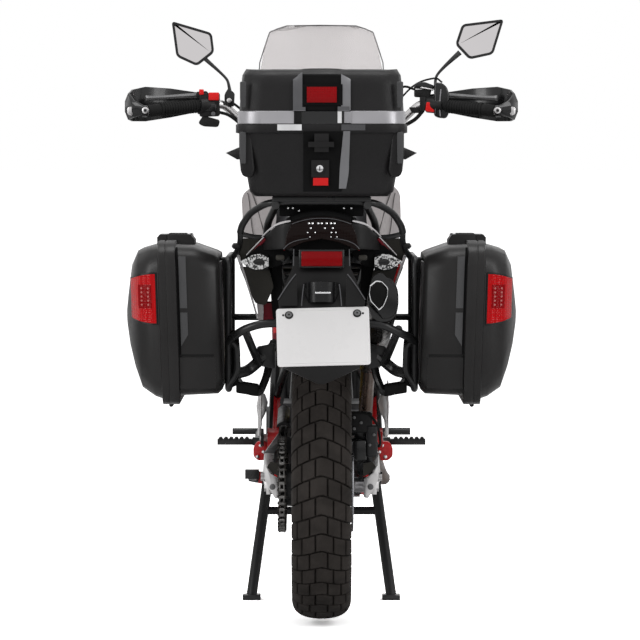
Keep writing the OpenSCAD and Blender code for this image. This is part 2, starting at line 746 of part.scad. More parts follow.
module foot_controls() {
    for (m = [0, 1]) mirror([m, 0, 0]) {
        color("black") {
            box(peg_in, peg_out, peg_y - 15, peg_y + 15, peg_z - 10, peg_z + 4);
            for (i = [0 : peg_teeth - 1])
                translate([lerp(peg_in + 14, peg_out - 8, i / (peg_teeth - 1)), peg_y, peg_z + 3])
                    rotate([90, 0, 0]) linear_extrude(30, center = true)
                        polygon([[-6, 0], [6, 0], [3, 6], [-3, 6]]);
            rod([lever_in, peg_y - 4, peg_z - 4], [lever_in, lever_y, 398], 6);
            bar_x(lever_in - 6, 224, lever_y, 400, m == 0 ? 9 : 8);
        }
        color(frame_red) difference() {
            union() {
                hull() {
                    bar_x(lug_x + gap, 150, pivot_y, pivot_z, 22);
                    bar_x(lug_x + gap, 150, peg_y, peg_z, 14);
                }
                box(149, peg_in, peg_y - 12, peg_y + 12, peg_z - 12, peg_z + 8);
            }
            bar_x(lug_x - 1, 160, pivot_y, pivot_z, 16);
        }
    }
}

module heel_plates() {
    color("silver") for (v = [[-1, 147], [1, 162]]) {
        s = v[0];
        x = v[1];
        box(s > 0 ? x : -x - 3, s > 0 ? x + 3 : -x, 488, 572, 428, 540);
        bar_x(s * 139, s * (x + 1), 560.8, 470, 7);
    }
}

// Front fairing round the lamp, with a short beak, measured from the top of the steering head
beak_back = 162;
lamp_face = 261;

module front_fairing() {
    color("#2a2a2a") translate(nose) {
        skin([oval(127, 250, 99, 163, 6), oval(167, 290, 30, 165, 6),
            oval(221, 280, 20, 155, 5), oval(lamp_face, 210, 23, 127, 5)]);
        skin([oval(beak_back, 200, 10, 47), oval(lamp_face, 170, -20, 27),
            oval(351, 130, -35, 10), oval(421, 90, -37, -15)]);
    }
}

module headlight() {
    color("lightgray") translate(nose)
        skin([oval(lamp_face + gap, 150, 39, 111), oval(lamp_face + 20, 130, 43, 101)]);
}

// Screen: height over the head, half-width and place ahead of it
module windscreen() {
    rows = [[164.3, 118, 151], [235, 146, 135], [325, 161, 117], [415, 156, 95],
        [455, 120, 85], [471, 86, 81]];
    cols = [-1, -0.7, -0.35, 0, 0.35, 0.7, 1];
    color("lightgray", 0.5) translate(nose) skin([for (r = rows) concat(
        [for (c = cols) [c * r[1], r[2] - 46 * c * c * r[1] * r[1] / 26000, r[0]]],
        [for (i = [6 : -1 : 0]) [cols[i] * r[1],
            r[2] + 4 - 46 * cols[i] * cols[i] * r[1] * r[1] / 26000, r[0]]])]);
}

// Fork
slider_r = 27;
slider_top = 372;
stanchion_r = 20.5;

module fork_sliders() {
    color("#202020") {
        on_steering() for (s = [-1, 1]) translate([s * fork_x, fork_offset, -32])
            cylinder(h = slider_top + 32, r = slider_r);
        bar_x(-134, 134, wheelbase, front_axle_z, 8);
        bar_x(62, 74, wheelbase, front_axle_z, 14);
        bar_x(-74, -68, wheelbase, front_axle_z, 14);
        on_steering() difference() {
            box(-92, -40, -62, 30, 92, 150);
            box(-69, -59, -64, 32, 85, 145);
        }
    }
}

module fork_stanchions() {
    color("silver") on_steering() for (s = [-1, 1])
        translate([s * fork_x, fork_offset, slider_top + gap])
            cylinder(h = upper_yoke + 41 - slider_top, r = stanchion_r);
}

module yoke_plate(z, h) {
    difference() {
        hull() {
            for (s = [-1, 1]) translate([s * fork_x, fork_offset, z]) cylinder(h = h, r = 28);
            translate([0, 0, z]) cylinder(h = h, r = 28);
        }
        for (s = [-1, 1]) translate([s * fork_x, fork_offset, z - 1])
            cylinder(h = h + 2, r = stanchion_r + gap);
    }
}

module yokes() {
    color("#303030") on_steering() {
        yoke_plate(head_low - 25 - gap, 25);
        yoke_plate(upper_yoke, 28);
        translate([0, 0, head_low - 10]) cylinder(h = upper_yoke - head_low + 20, r = 16);
        translate([0, 0, head_high + gap]) cylinder(h = upper_yoke - head_high, r = 22);
        for (s = [-1, 1]) difference() {
            translate([s * 42 - 14, -16, upper_yoke + 25]) cube([28, 32, bar_t - upper_yoke - 9]);
            rod([-80, 0, bar_t], [80, 0, bar_t], bar_r + gap);
        }
    }
}

// Handlebar, in the bike's own frame
bar_t = upper_yoke + 127;
bar = steer_at(bar_t);
bar_r = 11;
bar_points = [bar + [441, -185, 113], bar + [250, -109, 107], bar + [112, 0, 0], bar];

module handlebar() {
    p = concat([for (i = [0 : 2]) flip(bar_points[i])], [for (i = [2 : -1 : 0]) bar_points[i]]);
    color("silver") {
        tube(p, bar_r, 60, 12);
        bar_x(-27, 27, bar.y, bar.z, 14);
    }
}

function grip_end(t) = lerp(bar_points[1], bar_points[0], (t - 250) / 191);

module grips() {
    color("black") for (s = [-1, 1]) difference() {
        rod(side(grip_end(315), s), side(grip_end(439), s), 16);
        rod(side(grip_end(310), s), side(grip_end(445), s), 11 + gap);
    }
}

// Hand guard: a bowed shield from the bar's end round the front of the grip.
// Each station is x, y behind the bar's middle, lower and upper edge over the bar's middle
guard_t = 5;
guard_stations = [[448, -196, 104, 128], [474, -193, 98, 140], [guard_x - 2, -168, 92, 158],
    [482, -128, 88, 168], [450, -92, 88, 176], [386, -66, 98, 172], [316, -54, 112, 162],
    [268, -62, 122, 156]];

module hand_guard(s) {
    n = len(guard_stations);
    flat = [for (g = guard_stations) [g.x, g.y]];
    rings = [for (i = [0 : n - 1])
        let (g = guard_stations[i], low = g[2], high = g[3],
             d = unit((i < n - 1 ? unit(flat[i + 1] - flat[i]) : [0, 0])
                 + (i > 0 ? unit(flat[i] - flat[i - 1]) : [0, 0])),
             out = [d.y, -d.x])
        [for (q = [[0, low], [-1, low], [-1, high], [0, high], [1.6, lerp(low, high, 0.7)],
            [1.6, lerp(low, high, 0.3)]])
            let (f = flat[i] + out * guard_t * q[0]) bar + [s * f.x, f.y, q[1]]]];
    handed_skin(s, rings);
}

module hand_guards() {
    color("#1a1a1a") for (s = [-1, 1]) {
        end = grip_end(441);
        out = unit(bar_points[0] - bar_points[1]);
        rod(side(end + out * gap, s), side(end + out * 14, s), 15);
        hand_guard(s);
    }
}

module hand_controls() {
    color("#202020") for (s = [-1, 1]) {
        difference() {
            rod(side(grip_end(268), s), side(grip_end(310), s), 21);
            rod(side(grip_end(262), s), side(grip_end(314), s), 11 + gap);
        }
        tube([side(grip_end(285), s) + [0, 18, 0], side(grip_end(300), s) + [0, 52, 4],
            side(grip_end(420), s) + [0, 50, 0]], 6, 20, 8);
    }
}

// Mirrors: outlines as seen from behind, [x, z]
left_mirror = [[-377, 1435], [-280, 1406], [-274, 1358], [-314, 1325], [-370, 1355]];
right_mirror = [[357, 1426], [450, 1437], [460, 1430], [432, 1351], [371, 1340], [343, 1374]];

module mirror_head(outline) {
    translate(bar - [0, 101, bar.z]) rotate([90, 0, 0]) linear_extrude(22) polygon(outline);
}

module mirrors() {
    color("black") {
        mirror_head(left_mirror);
        mirror_head(right_mirror);
        translate([0, bar.y, 0]) {
            tube([[-326, -114, 1345], [-236, -114, 1285], [-233, -115, 1250], [-276, -118, 1242],
                [-276, -119, 1222.6]], 6, 6, 8);
            tube([[390, -114, 1352], [292, -114, 1296], [288, -124, 1222.6]], 6, 12, 8);
        }
    }
}

module front_fender() {
    color("whitesmoke") {
        at_front_axle() intersection() {
            turned([[345, -66], [349, -66], [356, -40], [358, 0], [356, 40], [349, 66],
                [345, 66], [352, 40], [354, 0], [352, -40]]);
            rotate([90, 0, 90]) translate([0, 0, -100]) linear_extrude(200)
                polygon([[0, 0], [500, 340], [300, 600], [-300, 500], [-420, 110]]);
        }
        on_steering() for (s = [-1, 1])
            box(s > 0 ? 62 : -72.6, s > 0 ? 72.6 : -62, 30, 60, 336, 350);
    }
}

// Wheel parts
module tyre(r, w, rim_r, rim_w) {
    h = r - rim_r;
    k = w / 2;
    b = rim_w / 2;
    outer = [[rim_r - 2.8, b - 0.4], [rim_r + 10, b - 0.3], [rim_r + 13, b + 9],
        [rim_r + 0.3 * h, k - 2], [rim_r + 0.48 * h, k], [rim_r + 0.7 * h, k - 3],
        [rim_r + 0.87 * h, k * 0.78], [rim_r + 0.97 * h, k * 0.42], [r, 0]];
    inner = [[r - 10, 0], [rim_r + 0.97 * h - 10, k * 0.38], [rim_r + 0.87 * h - 8, k * 0.68],
        [rim_r + 0.68 * h, k - 13], [rim_r + 0.48 * h, k - 9], [rim_r + 0.28 * h, k - 11],
        [rim_r + 12, b - 9], [rim_r - 2.8, b - 9]];
    turned(concat(outer, [for (i = [len(outer) - 2 : -1 : 0])
        [outer[i][0], -outer[i][1]]], [for (i = [len(inner) - 1 : -1 : 0])
        [inner[i][0], -inner[i][1]]], [for (i = [1 : len(inner) - 1]) inner[i]]));
}

module rim(rim_r, rim_w) {
    b = rim_w / 2;
    half = [[rim_r - 10, 0], [rim_r - 10, 14], [rim_r - 4.5, 20], [rim_r - 3.4, b],
        [rim_r + 8, b + 0.3], [rim_r + 9, b + 4.5], [rim_r - 6, b + 5], [rim_r - 12, b - 8],
        [rim_r - 18, 18], [rim_r - 19, 0]];
    turned(concat(half, [for (i = [len(half) - 2 : -1 : 1]) [half[i][0], -half[i][1]]]));
}

module wire_spokes(hub_r, hub_x, rim_r) {
    for (i = [0 : spokes - 1]) {
        a = 360 * i / spokes;
        lean = (i % 4 < 2 ? 1 : -1) * 34;
        x = i % 2 == 0 ? 1 : -1;
        rod([x * hub_x, (hub_r - 2) * cos(a + lean), (hub_r - 2) * sin(a + lean)],
            [x * 8, (rim_r - 16) * cos(a), (rim_r - 16) * sin(a)], 2.2, 6);
    }
}

rear_rim_r = 216;
rear_rim_w = 101;
front_rim_r = 241.5;
front_rim_w = 76;

module rear_tyre() {
    color("#262220") at_rear_axle() tyre(rear_r, rear_w, rear_rim_r, rear_rim_w);
}

module front_tyre() {
    color("#262220") at_front_axle() tyre(front_r, front_w, front_rim_r, front_rim_w);
}

module rear_rim() {
    color("#303030") at_rear_axle() {
        rim(rear_rim_r, rear_rim_w);
        wire_spokes(44, 33, rear_rim_r);
        turned([[axle_r + gap, -98], [28, -98], [28, -88], [50, -88], [52, -46], [30, -40],
            [45, -37], [45, -29], [28, -24], [28, 24], [45, 29], [45, 37], [36, 42], [36, 69],
            [24, 69], [24, 75.6], [axle_r + gap, 75.6]]);
    }
}

module front_rim() {
    color("#303030") at_front_axle() {
        rim(front_rim_r, front_rim_w);
        wire_spokes(38, 30, front_rim_r);
        turned([[8 + gap, -67.6], [20, -67.6], [20, -61], [34, -61], [36, -42], [39, -34],
            [39, -26], [22, -20], [22, 20], [39, 26], [39, 34], [26, 40], [20, 61.6],
            [8 + gap, 61.6]]);
    }
}

// Arc of points in a plane
function arc(r, a0, a1, n) = [for (i = [0 : n]) let (a = lerp(a0, a1, i / n)) r * [cos(a), sin(a)]];

// Brake disc: braking band, six arms and a hub ring
disc_t = 5;
disc_band = 30;
disc_arms = 6;

module disc(x, r, hub_r) {
    inner = hub_r + 8;
    outer = r - disc_band;
    step = 360 / disc_arms;
    translate([x - disc_t / 2, 0, 0]) rotate([0, 90, 0]) linear_extrude(disc_t) difference() {
        circle(r);
        for (i = [0 : disc_arms - 1]) rotate(step * i)
            polygon(concat(arc(outer, 8, step - 8, 8), arc(inner, step - 12, 12, 5)));
        circle(hub_r - 10);
    }
}

module rear_disc() {
    color("silver") at_rear_axle() disc(72 + gap, 110, 34 + gap);
}

module front_disc() {
    color("silver") at_front_axle() disc(-64 - gap, 140, 30 + gap);
}

module rear_sprocket() {
    root = sprocket_r - plate_h / 2 - 0.7;
    step = 360 / rear_teeth;
    color("dimgray") at_rear_axle() translate([chain_x - 3, 0, 0]) rotate([0, 90, 0])
        linear_extrude(6) difference() {
            polygon([for (i = [0 : rear_teeth - 1], q = [[-0.36, 0], [-0.12, 10], [0.12, 10], [0.36, 0]])
                (root + q[1]) * [cos(step * (i + q[0])), sin(step * (i + q[0]))]]);
            for (i = [0 : 5]) rotate(60 * i) translate([66, 0]) circle(15);
            circle(28 + gap);
        }
}

// Centre stand, down
stand_y = 500;
stand_z = 290;
foot_y = 541;
foot_x = 172;

module centre_stand() {
    color("#181818") for (s = [-1, 1]) {
        bar_x(s * 108, s * 122, stand_y, stand_z, 8);
        bar_x(s * 121, s * 146, stand_y, stand_z, 17);
        rod([s * 133, stand_y, stand_z], [s * foot_x, foot_y, 12], 13);
        box(s * foot_x - 22, s * foot_x + 22, foot_y - 26, foot_y + 26, 0, 12);
    }
    color("#181818") bar_x(-142, 142, 510, 222, 10);
}

// Side stand, folded back along the left side
side_pivot = [-158, 700, 290];
side_axis = [0.962, 0.192, -0.192];

module rotate_to(v) {
    rotate([0, acos(v.z / norm(v)), atan2(v.y, v.x)]) children();
}

module side_stand() {
    color("#181818") {
        translate(side_pivot) rotate_to(side_axis) {
            translate([0, 0, -22]) cylinder(h = 22 - gap, r = 15);
            translate([0, 0, -2]) cylinder(h = 26, r = 6);
        }
        rod(side_pivot + [-11, 0, 0], side_pivot + [-11, -276, 28], 11);
        box(-186, -152, 404, 432, 308, 330);
    }
}

placed() {
    frame();
    swingarm();
    engine();
    exhaust();
    fuel_tank();
    body_panels();
    seat();
    tail_fairing();
    tail_light();
    rear_mudguard();
    number_plate();
    indicators();
    luggage_racks();
    top_case_base();
    left_case_base();
    right_case_base();
    rear_shock();
    chain();
    radiator();
    skid_plate();
    foot_controls();
    heel_plates();
    front_fairing();
    headlight();
    windscreen();
    fork_sliders();
    fork_stanchions();
    yokes();
    handlebar();
    grips();
    hand_guards();
    hand_controls();
    mirrors();
    front_fender();
    front_tyre();
    front_rim();
    front_disc();
    rear_tyre();
    rear_rim();
    rear_disc();
    rear_sprocket();
    centre_stand();
    side_stand();
    top_case_lid();
    left_case_lid();
    right_case_lid();
}
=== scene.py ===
import json
import math

import bmesh
import bpy
from mathutils import Matrix, Vector

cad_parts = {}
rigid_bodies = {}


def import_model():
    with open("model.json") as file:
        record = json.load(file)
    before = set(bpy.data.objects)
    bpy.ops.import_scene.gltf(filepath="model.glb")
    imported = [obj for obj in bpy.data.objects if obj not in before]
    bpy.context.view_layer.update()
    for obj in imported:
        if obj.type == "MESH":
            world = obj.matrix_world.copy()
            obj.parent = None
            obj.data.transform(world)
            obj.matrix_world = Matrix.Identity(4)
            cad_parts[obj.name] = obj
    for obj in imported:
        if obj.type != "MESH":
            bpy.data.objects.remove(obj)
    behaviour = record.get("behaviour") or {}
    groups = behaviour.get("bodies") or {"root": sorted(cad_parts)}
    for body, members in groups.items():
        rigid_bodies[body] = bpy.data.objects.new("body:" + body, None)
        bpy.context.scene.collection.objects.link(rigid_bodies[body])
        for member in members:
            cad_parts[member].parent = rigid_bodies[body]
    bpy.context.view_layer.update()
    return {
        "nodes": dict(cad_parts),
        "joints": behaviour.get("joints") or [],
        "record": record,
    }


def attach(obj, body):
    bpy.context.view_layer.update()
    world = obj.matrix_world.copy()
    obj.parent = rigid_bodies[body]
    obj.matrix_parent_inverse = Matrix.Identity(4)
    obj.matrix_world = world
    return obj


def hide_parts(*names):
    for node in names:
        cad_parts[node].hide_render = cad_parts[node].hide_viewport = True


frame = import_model()
nodes = frame["nodes"]
joints = {joint["name"]: joint for joint in frame["joints"]}

# Places that the frame gives: both axles
REAR = Vector(joints["rear_wheel_spin"]["pos_m"])
FRONT = Vector(joints["front_wheel_spin"]["pos_m"])
MM = 0.001
SIDES = ((-1, "left"), (1, "right"))


def at(x, y, z):
    """A point in the row frame from millimetres: right, ahead of the rear axle, above the floor."""
    return Vector((x * MM, REAR.y + y * MM, z * MM))


# Materials
def new_material(name):
    material = bpy.data.materials.new(name)
    material.use_nodes = True
    return material, material.node_tree.nodes["Principled BSDF"]


def add_node(material, kind, links=(), **values):
    """Adds a shader node. Values set its own fields, and links join (socket, other node, output)."""
    node = material.node_tree.nodes.new(kind)
    for key, value in values.items():
        setattr(node, key, value)
    for socket, source, output in links:
        material.node_tree.links.new(source.outputs[output], node.inputs[socket])
    return node


def shader_values(shader, **values):
    for key, value in values.items():
        shader.inputs[key.replace("_", " ")].default_value = value


def place_node(material, stretch=(1, 1, 1)):
    """Object coordinates in metres, stretched along the axes."""
    place = add_node(material, "ShaderNodeTexCoord")
    mapping = add_node(material, "ShaderNodeMapping", [("Vector", place, "Object")])
    mapping.inputs["Scale"].default_value = stretch
    return mapping


def noise_node(material, place, scale, detail=3.0, rough=0.5):
    noise = add_node(material, "ShaderNodeTexNoise", [("Vector", place, "Vector")])
    noise.inputs["Scale"].default_value = scale
    noise.inputs["Detail"].default_value = detail
    noise.inputs["Roughness"].default_value = rough
    return noise


def ramp_node(material, source, output, stops):
    """Colour ramp over (place, colour) stops; a plain number stands for a grey."""
    ramp = add_node(material, "ShaderNodeValToRGB", [("Fac", source, output)])
    elements = ramp.color_ramp.elements
    while len(elements) < len(stops):
        elements.new(0.5)
    for element, (place, colour) in zip(elements, stops):
        element.position = place
        if isinstance(colour, (int, float)):
            colour = (colour, colour, colour)
        element.color = (*colour[:3], 1)
    return ramp


def join_sockets(material, source, output, target, socket):
    material.node_tree.links.new(source.outputs[output], target.inputs[socket])


def bump_node(material, shader, source, output, height, strength=1.0, below=None):
    bump = add_node(material, "ShaderNodeBump", [("Height", source, output)])
    bump.inputs["Distance"].default_value = height
    bump.inputs["Strength"].default_value = strength
    if below:
        join_sockets(material, below, "Normal", bump, "Normal")
    join_sockets(material, bump, "Normal", shader, "Normal")
    return bump


def tone(colour, factor):
    return tuple(min(1, part * factor) for part in colour)


def surface(name, colour, rough, metal=0.0, mottle=0.12, mottle_scale=9.0, grain=None,
            rough_swing=0.08, stretch=(1, 1, 1), coat=0.0, shine=0.16, **extra):
    """Opaque finish: colour that drifts a little, uneven gloss and a fine grain of (scale, height)."""
    material, shader = new_material(name)
    place = place_node(material, stretch)
    cloud = noise_node(material, place, mottle_scale, 5)
    drift = ramp_node(material, cloud, "Fac",
                      [(0.3, tone(colour, 1 - mottle)), (0.7, tone(colour, 1 + mottle))])
    join_sockets(material, drift, "Color", shader, "Base Color")
    wipe = noise_node(material, place, mottle_scale * 3.1, 4, 0.6)
    gloss = ramp_node(material, wipe, "Fac",
                      [(0.35, max(0.02, rough - rough_swing)), (0.7, min(1, rough + rough_swing))])
    join_sockets(material, gloss, "Color", shader, "Roughness")
    shader_values(shader, Metallic=metal, Coat_Weight=coat, Coat_Roughness=0.06,
                  Specular_IOR_Level=0.5 if metal else shine, **extra)
    if grain:
        fine = noise_node(material, place, grain[0], 2, 0.5)
        bump_node(material, shader, fine, "Fac", grain[1])
    return material


def worn_edges(material, colour, amount=0.5):
    """Mixes a paler rubbed colour onto outer edges."""
    tree = material.node_tree
    shader = tree.nodes["Principled BSDF"]
    link = shader.inputs["Base Color"].links[0]
    base = link.from_socket
    shape = add_node(material, "ShaderNodeNewGeometry")
    edge = ramp_node(material, shape, "Pointiness", [(0.52, 0), (0.6, amount)])
    mix = add_node(material, "ShaderNodeMix", [("Factor", edge, "Color")], data_type="RGBA")
    tree.links.new(base, mix.inputs["A"])
    mix.inputs["B"].default_value = (*colour, 1)
    tree.links.new(mix.outputs["Result"], shader.inputs["Base Color"])
    return material


def pebbled(name, colour, rough, cell, height):
    """Moulded plastic or vinyl with a leather-like pebble of the given cell scale."""
    material = surface(name, colour, rough, mottle=0.1, mottle_scale=7)
    shader = material.node_tree.nodes["Principled BSDF"]
    place = place_node(material)
    cells = add_node(material, "ShaderNodeTexVoronoi", [("Vector", place, "Vector")])
    cells.inputs["Scale"].default_value = cell
    fine = noise_node(material, place, cell * 1.7, 3)
    first = bump_node(material, shader, cells, "Distance", height)
    bump_node(material, shader, fine, "Fac", height * 0.5, below=first)
    return material


def lens(name, colour, cell, clear=0.25, rough=0.08):
    """Lamp or reflector plastic with moulded prisms behind a smooth face."""
    material, shader = new_material(name)
    place = place_node(material)
    prisms = add_node(material, "ShaderNodeTexVoronoi", [("Vector", place, "Vector")],
                      distance="CHEBYCHEV")
    prisms.inputs["Scale"].default_value = cell
    prisms.inputs["Randomness"].default_value = 0.0
    shade = ramp_node(material, prisms, "Distance",
                      [(0.0, tone(colour, 1.3)), (0.5, tone(colour, 0.75))])
    join_sockets(material, shade, "Color", shader, "Base Color")
    shader_values(shader, Roughness=rough, Transmission_Weight=clear, Coat_Weight=0.02,
                  Coat_Roughness=0.03, IOR=1.49, Specular_IOR_Level=0.08)
    bump_node(material, shader, prisms, "Distance", 0.0012)
    return material


def glassy(name, colour, rough=0.02, clear=1.0, **extra):
    """Clear plastic or glass, smeared a little."""
    material, shader = new_material(name)
    place = place_node(material)
    smear = noise_node(material, place, 6, 4)
    gloss = ramp_node(material, smear, "Fac", [(0.4, rough), (0.75, rough + 0.04)])
    join_sockets(material, gloss, "Color", shader, "Roughness")
    shader_values(shader, Base_Color=(*colour, 1), Transmission_Weight=clear, IOR=1.3, **extra)
    return material


def brushed(name, colour, rough, stretch, scale=60.0):
    """Metal with fine drawn lines along one axis."""
    material = surface(name, colour, rough, metal=1.0, mottle=0.08, mottle_scale=14)
    shader = material.node_tree.nodes["Principled BSDF"]
    place = place_node(material, stretch)
    lines = noise_node(material, place, scale, 4, 0.7)
    bump_node(material, shader, lines, "Fac", 0.00012)
    return material


def make_materials():
    m = {}
    m["red_paint"] = worn_edges(surface("red_paint", (0.46, 0.006, 0.01), 0.3, mottle=0.1,
        coat=0.22, shine=0.25, grain=(420, 0.00003)), (0.5, 0.08, 0.07), 0.2)
    # Darker copy of the red paint: on the frame tubes and on the red patches under the tail covers it
    # is painted shade, red paint in shadow
    m["dark_red"] = surface("dark_red", (0.12, 0.004, 0.01), 0.4, mottle=0.15)
    m["bare_alloy"] = brushed("bare_alloy", (0.56, 0.55, 0.55), 0.34, (1, 0.06, 1))
    m["cast_alloy"] = worn_edges(surface("cast_alloy", (0.1, 0.1, 0.102), 0.5, metal=0.7,
        mottle=0.2, grain=(900, 0.00012)), (0.4, 0.4, 0.4), 0.4)
    m["engine_black"] = surface("engine_black", (0.016, 0.016, 0.017), 0.45, shine=0.3,
        grain=(1100, 0.0001))
    m["header_steel"] = surface("header_steel", (0.09, 0.06, 0.045), 0.3, metal=1.0, mottle=0.35,
        mottle_scale=12, grain=(300, 0.00003))
    m["muffler_steel"] = brushed("muffler_steel", (0.075, 0.066, 0.06), 0.32, (1, 0.08, 1))
    m["tank_plastic"] = surface("tank_plastic", (0.03, 0.03, 0.032), 0.2, mottle=0.06, coat=0.35)
    # White plastic darkened to grey for the shade that the shrouds and tank covers stand in: painted
    # shade
    m["panel_grey"] = surface("panel_grey", (0.36, 0.335, 0.335), 0.3, mottle=0.06, coat=0.15,
        grain=(200, 0.00002))
    m["panel_shade"] = surface("panel_shade", (0.075, 0.07, 0.068), 0.4, mottle=0.12)
    m["white_plastic"] = surface("white_plastic", (0.62, 0.6, 0.61), 0.26, mottle=0.03,
        coat=0.2, grain=(200, 0.00002))
    m["black_plastic"] = surface("black_plastic", (0.0105, 0.0102, 0.0104), 0.45, mottle=0.2,
        grain=(1500, 0.00006))
    m["olive_plastic"] = surface("olive_plastic", (0.03, 0.028, 0.024), 0.5, mottle=0.15,
        grain=(1500, 0.00006))
    m["matt_black"] = surface("matt_black", (0.007, 0.007, 0.0072), 0.85, mottle=0.2, shine=0.03)
    m["gloss_black"] = surface("gloss_black", (0.0075, 0.0075, 0.008), 0.22, mottle=0.15, coat=0.1,
        shine=0.3)
    m["case_plastic"] = surface("case_plastic", (0.0135, 0.0128, 0.0128), 0.36, mottle=0.16,
        mottle_scale=5, shine=0.2, grain=(1300, 0.0001))
    m["case_pebble"] = pebbled("case_pebble", (0.0115, 0.011, 0.0115), 0.42, 520, 0.00028)
    m["case_silver"] = surface("case_silver", (0.3, 0.295, 0.31), 0.38, metal=0.4, mottle=0.06,
        grain=(1500, 0.00004))
    # Paler pebbled grey for the cases' corner strips; on the top case it also carries a painted
    # highlight
    m["edge_grey"] = pebbled("edge_grey", (0.06, 0.06, 0.062), 0.45, 420, 0.0003)
    m["trim_grey"] = surface("trim_grey", (0.17, 0.17, 0.178), 0.42, mottle=0.1,
        grain=(1500, 0.00004))
    m["case_grey"] = surface("case_grey", (0.085, 0.085, 0.09), 0.4, mottle=0.08,
        grain=(1500, 0.00004))
    m["black_steel"] = worn_edges(surface("black_steel", (0.0072, 0.0072, 0.0078), 0.34, mottle=0.2,
        coat=0.08, shine=0.25, grain=(700, 0.00008)), (0.08, 0.08, 0.08), 0.3)
    m["seat_vinyl"] = pebbled("seat_vinyl", (0.013, 0.013, 0.0135), 0.5, 700, 0.00022)
    m["seat_welt"] = surface("seat_welt", (0.03, 0.03, 0.031), 0.5, mottle=0.1)
    m["rubber"] = surface("rubber", (0.0095, 0.0095, 0.0095), 0.7, mottle=0.2, shine=0.1,
        grain=(900, 0.0001))
    m["tyre"] = tyre_rubber()
    m["chrome"] = surface("chrome", (0.7, 0.7, 0.71), 0.09, metal=1.0, mottle=0.04,
        rough_swing=0.04)
    m["disc_steel"] = brushed("disc_steel", (0.4, 0.4, 0.42), 0.28, (0.1, 1, 1), 90)
    m["chain_steel"] = surface("chain_steel", (0.05, 0.046, 0.042), 0.36, metal=0.9, mottle=0.5,
        mottle_scale=120, grain=(400, 0.0001))
    m["roller_steel"] = surface("roller_steel", (0.17, 0.165, 0.16), 0.3, metal=1.0,
        mottle=0.5, mottle_scale=90)
    m["spring_yellow"] = surface("spring_yellow", (0.5, 0.36, 0.03), 0.3, coat=0.3)
    m["plate_white"] = surface("plate_white", (0.7, 0.69, 0.69), 0.32, mottle=0.02, coat=0.2,
        grain=(2400, 0.00003))
    m["red_lens"] = lens("red_lens", (0.27, 0.001, 0.003), 260, clear=0.05)
    m["bright_red_lens"] = lens("bright_red_lens", (0.5, 0.006, 0.008), 200, clear=0.05)
    m["lamp_pink"] = surface("lamp_pink", (0.45, 0.14, 0.13), 0.3, mottle=0.1)
    m["smoke_lens"] = lens("smoke_lens", (0.008, 0.0035, 0.003), 150, clear=0.02)
    m["clear_lens"] = speckled_lens()
    m["screen_rim"] = surface("screen_rim", (0.16, 0.155, 0.16), 0.3, mottle=0.05)
    m["amber_lens"] = lens("amber_lens", (0.7, 0.2, 0.02), 190, clear=0.2)
    m["dark_chrome"] = surface("dark_chrome", (0.1, 0.1, 0.105), 0.2, metal=1.0, mottle=0.05)
    m["button_red"] = surface("button_red", (0.58, 0.012, 0.012), 0.35, mottle=0.08)
    m["lamp_glass"] = glassy("lamp_glass", (0.9, 0.92, 0.94))
    m["clear_screen"] = glassy("clear_screen", (0.78, 0.75, 0.75), 0.05, 0.72)
    m["mirror_glass"] = surface("mirror_glass", (0.6, 0.58, 0.585), 0.02, metal=1.0, mottle=0.01,
        rough_swing=0.01)
    m["radiator_black"] = radiator_core()
    return m


def speckled_lens():
    """Clear lamp plastic with pale and dark specks painted into its colour: painted glints for the
    light that its facets break up.
    """
    material = surface("clear_lens", (0.5, 0.5, 0.49), 0.15, coat=0.2)
    shader = material.node_tree.nodes["Principled BSDF"]
    place = place_node(material)
    facets = add_node(material, "ShaderNodeTexVoronoi", [("Vector", place, "Vector")])
    facets.inputs["Scale"].default_value = 320
    specks = ramp_node(material, facets, "Color", [(0.34, 0.05), (0.5, 0.72)])
    join_sockets(material, specks, "Color", shader, "Base Color")
    bump_node(material, shader, facets, "Distance", 0.001)
    return material


def tyre_rubber():
    """Road-dusty brown-black rubber, paler where it is rubbed."""
    material = surface("tyre", (0.025, 0.0215, 0.0195), 0.75, mottle=0.3, mottle_scale=22, shine=0.1,
                       grain=(800, 0.00022))
    return worn_edges(material, (0.06, 0.053, 0.047), 0.45)


def radiator_core():
    """Black core with rows of fine fins."""
    material = surface("radiator_black", (0.03, 0.03, 0.03), 0.45, metal=0.5)
    shader = material.node_tree.nodes["Principled BSDF"]
    place = place_node(material)
    rows = add_node(material, "ShaderNodeTexWave", [("Vector", place, "Vector")],
                    bands_direction="Z")
    rows.inputs["Scale"].default_value = 55
    bump_node(material, shader, rows, "Fac", 0.002)
    return material


# Modelling helpers: every piece starts as a primitive and is shaped with edit-mode operators
def object_mode():
    if bpy.context.mode != "OBJECT":
        bpy.ops.object.mode_set(mode="OBJECT")


def only(*pieces):
    """Selects these objects alone, the last one active."""
    object_mode()
    bpy.ops.object.select_all(action="DESELECT")
    for piece in pieces:
        piece.select_set(True)
        bpy.context.view_layer.objects.active = piece


def block(low, high):
    """Box between two corners, with its place in its mesh."""
    object_mode()
    bpy.ops.object.select_all(action="DESELECT")
    bpy.ops.mesh.primitive_cube_add(size=1, location=(Vector(low) + Vector(high)) / 2)
    piece = bpy.context.object
    piece.scale = [abs(b - a) for a, b in zip(low, high)]
    bpy.ops.object.transform_apply(location=True, rotation=True, scale=True)
    return piece


def round_bar(start, end, radius, sides=32):
    """Cylinder from one point to another."""
    object_mode()
    bpy.ops.object.select_all(action="DESELECT")
    start, end = Vector(start), Vector(end)
    turn = (end - start).to_track_quat("Z", "Y").to_euler()
    bpy.ops.mesh.primitive_cylinder_add(vertices=sides, radius=radius, depth=(end - start).length,
                                        location=(start + end) / 2, rotation=turn)
    bpy.ops.object.transform_apply(location=True, rotation=True, scale=True)
    return bpy.context.object


